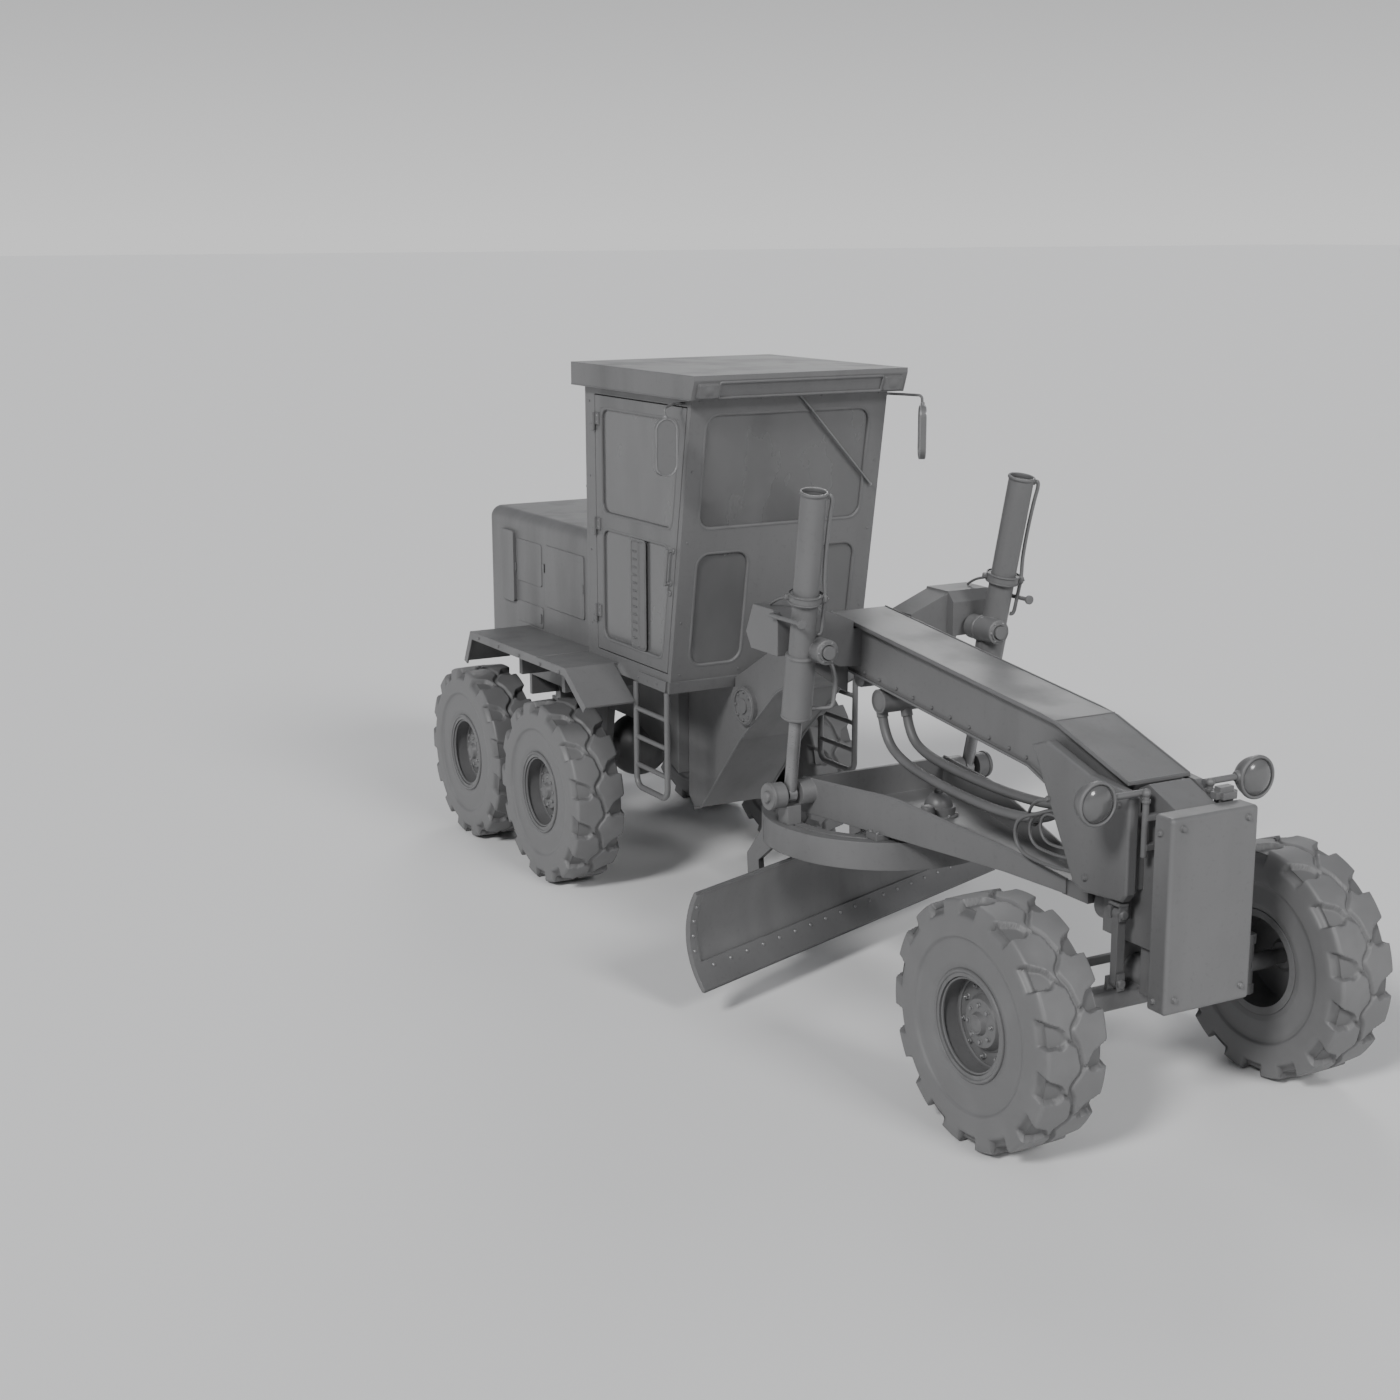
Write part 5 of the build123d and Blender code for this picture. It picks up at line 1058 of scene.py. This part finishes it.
# %% [markdown]
# A drip rail runs under each side of the roof, and rivets hold the sheet metal to its frame. The rivets are
# raised points on faces that look three different ways, so each place in the list carries its own direction.
# %% Drip rails and rivets
piece("drip_rails", [
    pipe([(-1795, side * 771, 3404), (-140, side * 771, 3404)], 5, 2) for _, side in SIDES
] + [
    turned([(0, 38), (9, 36), (14, 30), (15, 8), (11, 0), (0, 0)], (-1705, -690, 2719), (-1, 0, 0), 20),
], "frame", "body_paint")
spots = [((front_x(z) + 0.5, y, z), FRONT_WAY) for z in (1630, 3390) for y in (-655, -220, 220, 655)]
spots += [((front_x(z) + 0.5, y, z), FRONT_WAY) for z in (1980, 2500, 2950) for y in (-672, 672)]
spots += [((-940 + 130 * k, side * 729.5, 1548), (0, side, 0)) for _, side in SIDES for k in range(3)]
spots += [((-1640, side * (DOOR_Y + 0.5), z), (0, side, 0))
          for _, side in SIDES for z in (1800, 2300, 2800, 3300)]
repeated("cab_rivets", rivet, spots, "frame", "body_paint", 0.75)
print("rivets on the cab:", len(spots))

# %% [markdown]
# The lift cylinders carry most of the fine pipework that shows: a lip round the open top of the guard tube,
# a pipe that leaves it and runs down to the clamp, a gland at the rod, and a bent pipe from the low port.
# Most of it is round stock about one slanted line, so along() gives a place as a height on that line and a
# distance out from it, which is easier to follow than points in the machine. It rides on the barrel.
# %% Lift cylinder trim
TRUNNION_Y, TRUNNION_Z = 602, 2065
for name, side in SIDES:
    foot, top = Vector((823, side * 641, 1160)), Vector((1185, side * 718, 2988))
    line = (top - foot).normalized()
    toward_view = Vector((0.50, 0.86, 0))
    spoke = (toward_view - line * toward_view.dot(line)).normalized()
    across = line.cross(spoke)

    def along(height, out, swing=0.0):
        """Point at a height along the cylinder, out from its line, swung round it."""
        turned_spoke = spoke * math.cos(swing) + across * math.sin(swing)
        return tuple(foot + line * height + turned_spoke * out)

    inward = Vector((0.25, -side * 0.97, 0))
    port = foot + line * 545
    trunnion = (0, side * TRUNNION_Y, TRUNNION_Z)
    shapes = [
        turned([(67, 1846), (67, 1866), (70, 1870), (78, 1870), (82, 1866), (82, 1857), (77, 1850),
                (75, 1846)], foot, line, 48, ring=True),
        pipe([along(1830, 72), along(1850, 84), along(1848, 100), along(1815, 106), along(1740, 98),
              along(1560, 92), along(1380, 94), along(1300, 104), along(1240, 110), along(1170, 108),
              along(1090, 106), along(1045, 106), along(1020, 98), along(1022, 82)], 11.5),
        *(turned([(94, low), (101, low), (101, low + 8), (94, low + 8)], foot, line, 48, ring=True)
          for low in (1214, 1258)),
        block((34, 44, 34), placed(along(1240, 108), spoke, across), 5),
        block((34, 30, 34), placed(along(1240, 106, math.pi), spoke, across), 5),
        turned([(42, 484), (68, 484), (76, 490), (82, 496), (90, 502), (90, 516), (42, 516)], foot, line, 48,
               ring=True),
        turned([(74, 876), (91, 876), (91, 888), (84, 894), (74, 896)], foot, line, 48, ring=True),
        turned([(44, 1150), (73, 1150), (73, 1158), (66, 1162), (56, 1162), (56, 1169), (44, 1169)],
               trunnion, (1, 0, 0), 40, ring=True),
        turned([(70, 980), (79, 980), (79, 994), (76, 998), (70, 998)], trunnion, (1, 0, 0), 40, ring=True),
        turned([(0, 0), (16, 0), (16, 26), (12, 32), (0, 32)], tuple(port + inward * 84), inward, 20),
        pipe([tuple(port + inward * 100), tuple(port + inward * 160), tuple(port + inward * 216),
              (978, side * 440, 1750), (980, side * 430, 1850), (955, side * 440, 1945),
              (905, side * 465, 1985), (862, side * 490, 2008)], 13),
        turned([(0, 0), (17, 0), (17, 30), (13, 36), (0, 36)], (862, side * 490, 2012), (-0.6, 0, -0.8), 20),
        pipe([(700, side * 705, 2283), (760, side * 702, 2320), (880, side * 698, 2352),
              (980, side * 692, 2366)], 8),
    ]
    piece(f"lift_trim_{name}", shapes, f"lift_barrel_{name}", "body_paint")
    bolts = [(along(1240, 126), tuple(spoke))]
    bolts += [((1162, side * TRUNNION_Y + u, TRUNNION_Z + v), (1, 0, 0)) for u, v in round_offsets(6, 58)]
    repeated(f"lift_bolts_{name}", bolt, bolts, f"lift_barrel_{name}", "rod_steel", 0.55)
print("lift cylinder trim made")

# %% [markdown]
# Along the beam run weld seams under the cap and over the foot, a lip along each edge of the cap, and a row
# of bolts above the foot. A seam could be painted on as a line, but a thin pipe half sunk into the corner
# catches light as the real bead does. The drum has domed ends.
# %% Beam trim


def beam_top(x):
    """Height of the beam's top along its straight rear part."""
    return 2165.0 - 0.10952 * (x - 600.0)


cap_line = [(562, beam_top(562)), (2700, 1935), (3288, 1743)]
foot_line = [(562, 1860), (2450, 1647), (3060, 1412)]
seams = []
for _, side in SIDES:
    seams += [
        pipe([(x, side * 194, z + 0.5) for x, z in cap_line], 6, 2),
        pipe([(x, side * 151, z - 17) for x, z in cap_line], 5, 2),
        pipe([(x, side * 151, z + 1) for x, z in foot_line], 5, 2),
        turned([(0, 9), (26, 9), (48, 6), (62, 1), (67, -5), (67, -10), (0, -10)], (1010, side * 150, 1700),
               (0, side, 0), 40),
    ]
seams += [pipe([(x, -198, z), (x, 198, z)], 4, 2) for x, z in ((2700, 1935), (3285, 1744))]
drum_ends = [(0, -140), (40, -138), (58, -130), (62, -118), (62, 118), (58, 130), (40, 138), (0, 140)]
seams.append(turned(drum_ends, (770, 0, 1800), (0, 1, 0), 40))
piece("beam_seams", seams, "frame", "body_paint")
spots = [((x, side * 150.5, 1883 - 0.1128 * (x - 562)), (0, side, 0)) for _, side in SIDES
         for x in (864, 1023, 1195, 1367, 1551, 1730, 1907, 2090, 2269, 2420)]
repeated("beam_bolts", bolt, spots, "frame", "body_paint", 0.75)
print("bolts along the beam:", len(spots))

# %% [markdown]
# The nose stands nearest to the camera, so its small parts are modelled in full: bolts on the plate and the
# covers, the small tank behind the plate, forks for the stay links, and the rod that steadies the hoses.
# %% Nose fittings
nose = [block((92, 136, 84), placed((3534, 200, 1690)), 24, 4)]
for _, side in SIDES:
    nose += [
        block((12, 62, 96), placed((3329, side * 230, 1086)), 5),
        block((92, 62, 18), placed((3290, side * 230, 1124)), 5),
        block((12, 56, 96), placed((3329, side * 230, 722)), 5),
        *(turned([(0, 0), (24, 0), (24, 7), (18, 12), (0, 12)], (3334, side * 230, z), (1, 0, 0), 24)
          for z in (1075, 715)),
    ]
piece("nose_fittings", nose, "frame", "body_paint")
piece("hose_stay", [
    pipe([(2752, -262, 1539), (2700, -268, 1525), (2600, -235, 1480), (2470, -160, 1400),
          (2425, -128, 1360)], 9),
    turned([(29.5, -16), (36, -16), (38, -12), (38, 12), (36, 16), (29.5, 16)], (2418, -95, 1325),
           (1, 0, 0.18), 32, ring=True),
], "frame", "body_paint")
spots = [((3704, y, z), (1, 0, 0)) for y, z in ((-207, 1613), (207, 1613), (-214, 748), (214, 748))]
for _, side in SIDES:
    spots += [((3622, side * 276, z), (0, side, 0)) for z in (1580, 728)]
    spots += [((x, side * 262, z), (0, side, 0)) for x, z in ((2748, 1539), (3064, 1201), (3300, 1640))]
repeated("nose_bolts", bolt, spots, "frame", "body_paint", 1.25)
print("nose fittings with", len(spots), "bolts")

# %% [markdown]
# Each headlamp's glass bulges out of a pressed rim. The CAD has flat discs for lenses, so a turned pair
# replaces them, and the rims and the collars of the lamp arms are rings turned about the same lines.
# %% Headlamp rims and lenses
rims, lenses = [], []
for _, side in SIDES:
    lamp = (3430, side * 512, 1711)
    rims += [
        turned([(97, -8), (97, 9), (100, 14), (107, 15), (113, 10), (115, 2), (114, -8), (109, -12)], lamp,
               (1, 0, 0), 56, ring=True),
        turned([(17, -6), (25, -4), (30, 4), (31, 16), (26, 28), (17, 32)], (3405, side * 396, 1722),
               (0, side, 0), 28, ring=True),
        turned([(17, 0), (23, 0), (23, 16), (17, 16)], (3430, side * 205, 1676), UP, 24, ring=True),
    ]
    lenses.append(turned([(0, 36), (24, 35), (48, 31), (70, 23), (86, 13), (96, 3), (97, -2), (0, -2)], lamp,
                         (1, 0, 0), 56))
piece("lamp_rims", rims, "frame", "body_paint")
lens_pair = piece("lamp_lens_pair", lenses, "frame", "glazing")
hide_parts("lamp_lenses")
print("lens faces:", len(lens_pair.data.polygons))

# %% [markdown]
# The drawbar has a rolled upper edge and a bolted drive motor, and under it the circle turns by a ring of
# teeth on its inner side. Gear software would give true flanks. At this size a tooth is a softened block,
# and the repeat tree sets ninety-six of them with no spin, so that they all stand upright.
# %% Drawbar trim and circle teeth
CIRCLE_X = 845  # middle of the turning circle along the machine
MOTOR_X, MOTOR_Y = 1300, 90
bar = []
for _, side in SIDES:
    bar += [
        pipe([(766, side * 511, 1231), (1483, side * 350, 1249), (2312, side * 163, 1141),
              (2700, side * 75, 1061)], 9, 2),
        turned([(0, 8), (22, 8), (32, 4), (36, -3), (0, -3)], (815, side * 804, 1160), (0, side, 0), 28),
        turned([(70, -4), (82, -2), (84, 6), (82, 16), (70, 16)], (815, side * 768, 1160), (0, side, 0), 44,
               ring=True),
    ]
bar += [
    turned([(96, 0), (118, 0), (118, 12), (112, 16), (96, 16)], (MOTOR_X, MOTOR_Y, 1046), UP, 48, ring=True),
    turned([(0, 0), (26, 0), (26, 12), (20, 20), (20, 34), (12, 40), (0, 40)], (MOTOR_X, MOTOR_Y, 1186), UP,
           24),
    turned([(0, 0), (44, 0), (44, 80), (38, 96), (20, 104), (0, 106)], (1400, -60, 1046), UP, 36),
]
piece("drawbar_trim", bar, "drawbar", "body_paint")
motor_bolts = [((MOTOR_X + u, MOTOR_Y + v, 1061), UP) for u, v in round_offsets(8, 108)]
motor_bolts += [((1362 + dx, side * 377 + dy, 1026), UP)
                for _, side in SIDES for dx in (-35, 35) for dy in (-26, 26)]
repeated("motor_bolts", bolt, motor_bolts, "drawbar", "rod_steel", 0.8)
tooth = template("tooth_item", [block((15, 19, 22), placed(ORIGIN), 4)])
teeth = [((CIRCLE_X + u, v, 974), (-u, -v, 0)) for u, v in round_offsets(96, 573)]
repeated("circle_teeth", tooth, teeth, "circle", "rod_steel", spin=0.0)
print("teeth in the circle:", len(teeth))

# %% [markdown]
# The blade is a curved plate with a rolled top, and plough bolts hold its cutting edge and its end strips.
# The bolts have to lie flat on the curve. Its section is an arc, so three points of it give the arc's centre,
# and the way from a point to that centre is the way its bolt faces.
# %% Blade trim
BLADE_MIDDLE = 69  # how far the blade's middle stands to the left of the circle's
YAW = math.radians(20.6)
BLADE_N = Vector((math.cos(YAW), math.sin(YAW), 0))
BLADE_V = Vector((-math.sin(YAW), math.cos(YAW), 0))


def blade_point(n, v, z):
    """Point ahead of the circle's centre, along the blade, and up."""
    return tuple(Vector((CIRCLE_X, 0, z)) + BLADE_N * n + BLADE_V * v)


def circle_through(first, second, third):
    """Centre and radius of the circle through three points of the blade's section."""
    (ax, ay), (bx, by), (cx, cy) = first, second, third
    d = 2 * (ax * (by - cy) + bx * (cy - ay) + cx * (ay - by))
    a, b, c = ax * ax + ay * ay, bx * bx + by * by, cx * cx + cy * cy
    centre = Vector(((a * (by - cy) + b * (cy - ay) + c * (ay - by)) / d,
                     (a * (cx - bx) + b * (ax - cx) + c * (bx - ax)) / d))
    return centre, (centre - Vector(first)).length


face_centre, face_r = circle_through((-182, 180), (-303, 481.5), (-240, 763))


def on_face(v, z, ahead):
    """Point of the blade's face at height z, that far ahead of it, and the way the face looks."""
    up = z - face_centre.y
    n = face_centre.x - math.sqrt(face_r ** 2 - up ** 2)
    toward_centre = (face_centre - Vector((n, z))).normalized()
    spot = Vector((n, z)) + toward_centre * ahead
    return blade_point(spot.x, v, spot.y), tuple(BLADE_N * toward_centre.x + Vector((0, 0, toward_centre.y)))


plough = [on_face(BLADE_MIDDLE + 152 * k, 292, 14) for k in range(-9, 10)]
plough += [on_face(BLADE_MIDDLE + end * 1490, z, 14) for end in (-1, 1) for z in (400, 490, 580, 670)]
repeated("blade_bolts", rivet, plough, "moldboard", "rod_steel", 1.25)
piece("blade_roll", [
    pipe([blade_point(-252, BLADE_MIDDLE + end * 1519, 752) for end in (-1, 1)], 10, 2),
    *(pipe([on_face(BLADE_MIDDLE + end * 1452, z, 3)[0] for z in (345, 450, 560, 660, 740)], 6)
      for end in (-1, 1)),
], "moldboard", "blade_steel")
print("blade section's radius:", round(face_r), "mm;", len(plough), "plough bolts")

# %% [markdown]
# The rest of the machine gets bolts round the inspection covers and the tandem hubs, a welded flange down the
# gooseneck's edges, latches on the hood's panels, tail lamps, and filters under the cab's front. All of it
# belongs to the frame and wears its paint, so two pieces hold it: one of shapes and one of bolts.
# %% Rear and gooseneck trim
COVER_X, COVER_Z = -336, 1420
TANDEM_X, TANDEM_Z = -2376, 700
rear, spots = [], []
slope_line = [(-1045, 566), (-960, 592), (-438, 1173), (12, 1572), (556, 1842)]
for _, side in SIDES:
    tail_lamp = (-3552, side * 560, 1500)
    rear += [
        pipe([(x, side * 249, z) for x, z in slope_line], 9, 2),
        turned([(0, 46), (26, 44), (38, 36), (43, 22), (46, 8), (46, 0), (0, 0)], tail_lamp, (-1, 0, 0), 32),
        turned([(46, 0), (54, 0), (54, 8), (50, 14), (46, 14)], tail_lamp, (-1, 0, 0), 32, ring=True),
        turned([(0, 0), (24, 0), (29, 8), (29, 118), (24, 128), (12, 132), (0, 132)],
               (-620, side * 215, 1466), (1, 0, 0), 32),
        turned([(104, 30), (118, 30), (118, 38), (112, 42), (104, 42)], (COVER_X, side * 250, COVER_Z),
               (0, side, 0), 48, ring=True),
        *(block((26, 9, 64), placed((x, side * 658, z)), 3)
          for x, z in ((-2550, 2040), (-2610, 1660), (-1905, 1980), (-3040, 1985))),
    ]
    spots += [((COVER_X + u, side * 284, COVER_Z + v), (0, side, 0)) for u, v in round_offsets(8, 92)]
    spots += [((TANDEM_X + u, side * 695, TANDEM_Z + v), (0, side, 0)) for u, v in round_offsets(10, 172)]
    spots += [((x, side * 1110, 1545), (0, side, 0)) for x in (-2700, -2350, -2000, -1650, -1350)]
piece("frame_trim", rear, "frame", "body_paint")
repeated("frame_bolts", bolt, spots, "frame", "body_paint", 0.8)
print("bolts on the frame:", len(spots))

# %% [markdown]
# The seat shows through the glass. A cushion is soft, so it isn't a rounded block: each of the two is a
# slightly smaller block blown up as cloth, which crowns its middle and pulls in its sides. The sewn channels
# come after that, because the remeshing before it would wipe them out.
# %% Seat cushions
scene = bpy.context.scene
CLOTH_FRAMES = 20
STITCH_DEPTH, STITCH_WIDTH = 0.009, 0.010  # metres


def cushion(name, size, place, swell):
    """Cushion blown up as cloth from a block, no further than swell millimetres, then sewn across."""
    pad = linked(name, block(size, place, 26, 4))
    remesh = pad.modifiers.new("remesh", "REMESH")
    remesh.mode = "VOXEL"
    remesh.voxel_size = 0.011
    pad.data = settled(pad)
    pad.modifiers.clear()
    before = [vert.co.copy() for vert in pad.data.vertices]
    cloth_modifier = pad.modifiers.new("cloth", "CLOTH")
    cloth_modifier.settings.use_pressure = True
    cloth_modifier.settings.uniform_pressure_force = 4.0
    cloth_modifier.settings.effector_weights.gravity = 0.0
    cloth_modifier.point_cache.frame_end = CLOTH_FRAMES
    for frame_number in range(1, CLOTH_FRAMES + 1):
        scene.frame_set(frame_number)
    blown = settled(pad)
    pad.modifiers.clear()
    for vert, moved, start in zip(pad.data.vertices, blown.vertices, before):
        step = moved.co - start
        vert.co = start + step * min(1.0, swell * MM / max(step.length, 1e-9))
    scene.frame_set(1)
    back = place.inverted()
    for vert in pad.data.vertices:
        at = back @ vert.co
        if at.z > 0.2 * size[2] * MM:
            seam = min(abs(at.x - k * size[0] * MM / 4) for k in (-1, 0, 1))
            at.z -= STITCH_DEPTH * math.exp(-(seam / STITCH_WIDTH) ** 2)
            vert.co = place @ at
    divide = pad.modifiers.new("divide", "SUBSURF")
    divide.levels = 1
    pad.data = settled(pad)
    pad.modifiers.clear()
    pad.data.shade_smooth()
    pad.data.materials.clear()
    pad.data.materials.append(finishes["seat_cover"])
    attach(pad, "frame")
    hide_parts("seat")
    print(name, "has", len(pad.data.polygons), "faces")


cushion("seat_cushion", (430, 430, 92), placed((-1300, 0, 1792)), 13)
cushion("seat_backrest", (430, 420, 76), placed((-1470, 0, 2122), (-0.15, 0, 1), (1, 0, 0.15)), 11)

# %% [markdown]
# The cushions stand on a stamped base with a boot round its spring, a back plate and an adjusting lever.
# Little of it shows, so softened blocks do. Together with the cushions it stands for the CAD's plain seat.
# %% Seat pedestal
pedestal = piece("seat_pedestal", [
    block((330, 330, 14), placed((-1300, 0, 1578)), 4),
    block((250, 250, 130), placed((-1300, 0, 1650)), 30, 4),
    block((400, 400, 26), placed((-1300, 0, 1727)), 8),
    block((22, 380, 470), placed((-1524, 0, 2075), (1, 0, 0.15), (-0.15, 0, 1)), 8),
    pipe([(-1180, 210, 1730), (-1110, 226, 1738), (-1082, 232, 1752)], 8),
], "frame", "body_paint")
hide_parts("seat")

for spare in (bolt, nut, rivet, tooth):
    bpy.data.objects.remove(spare)
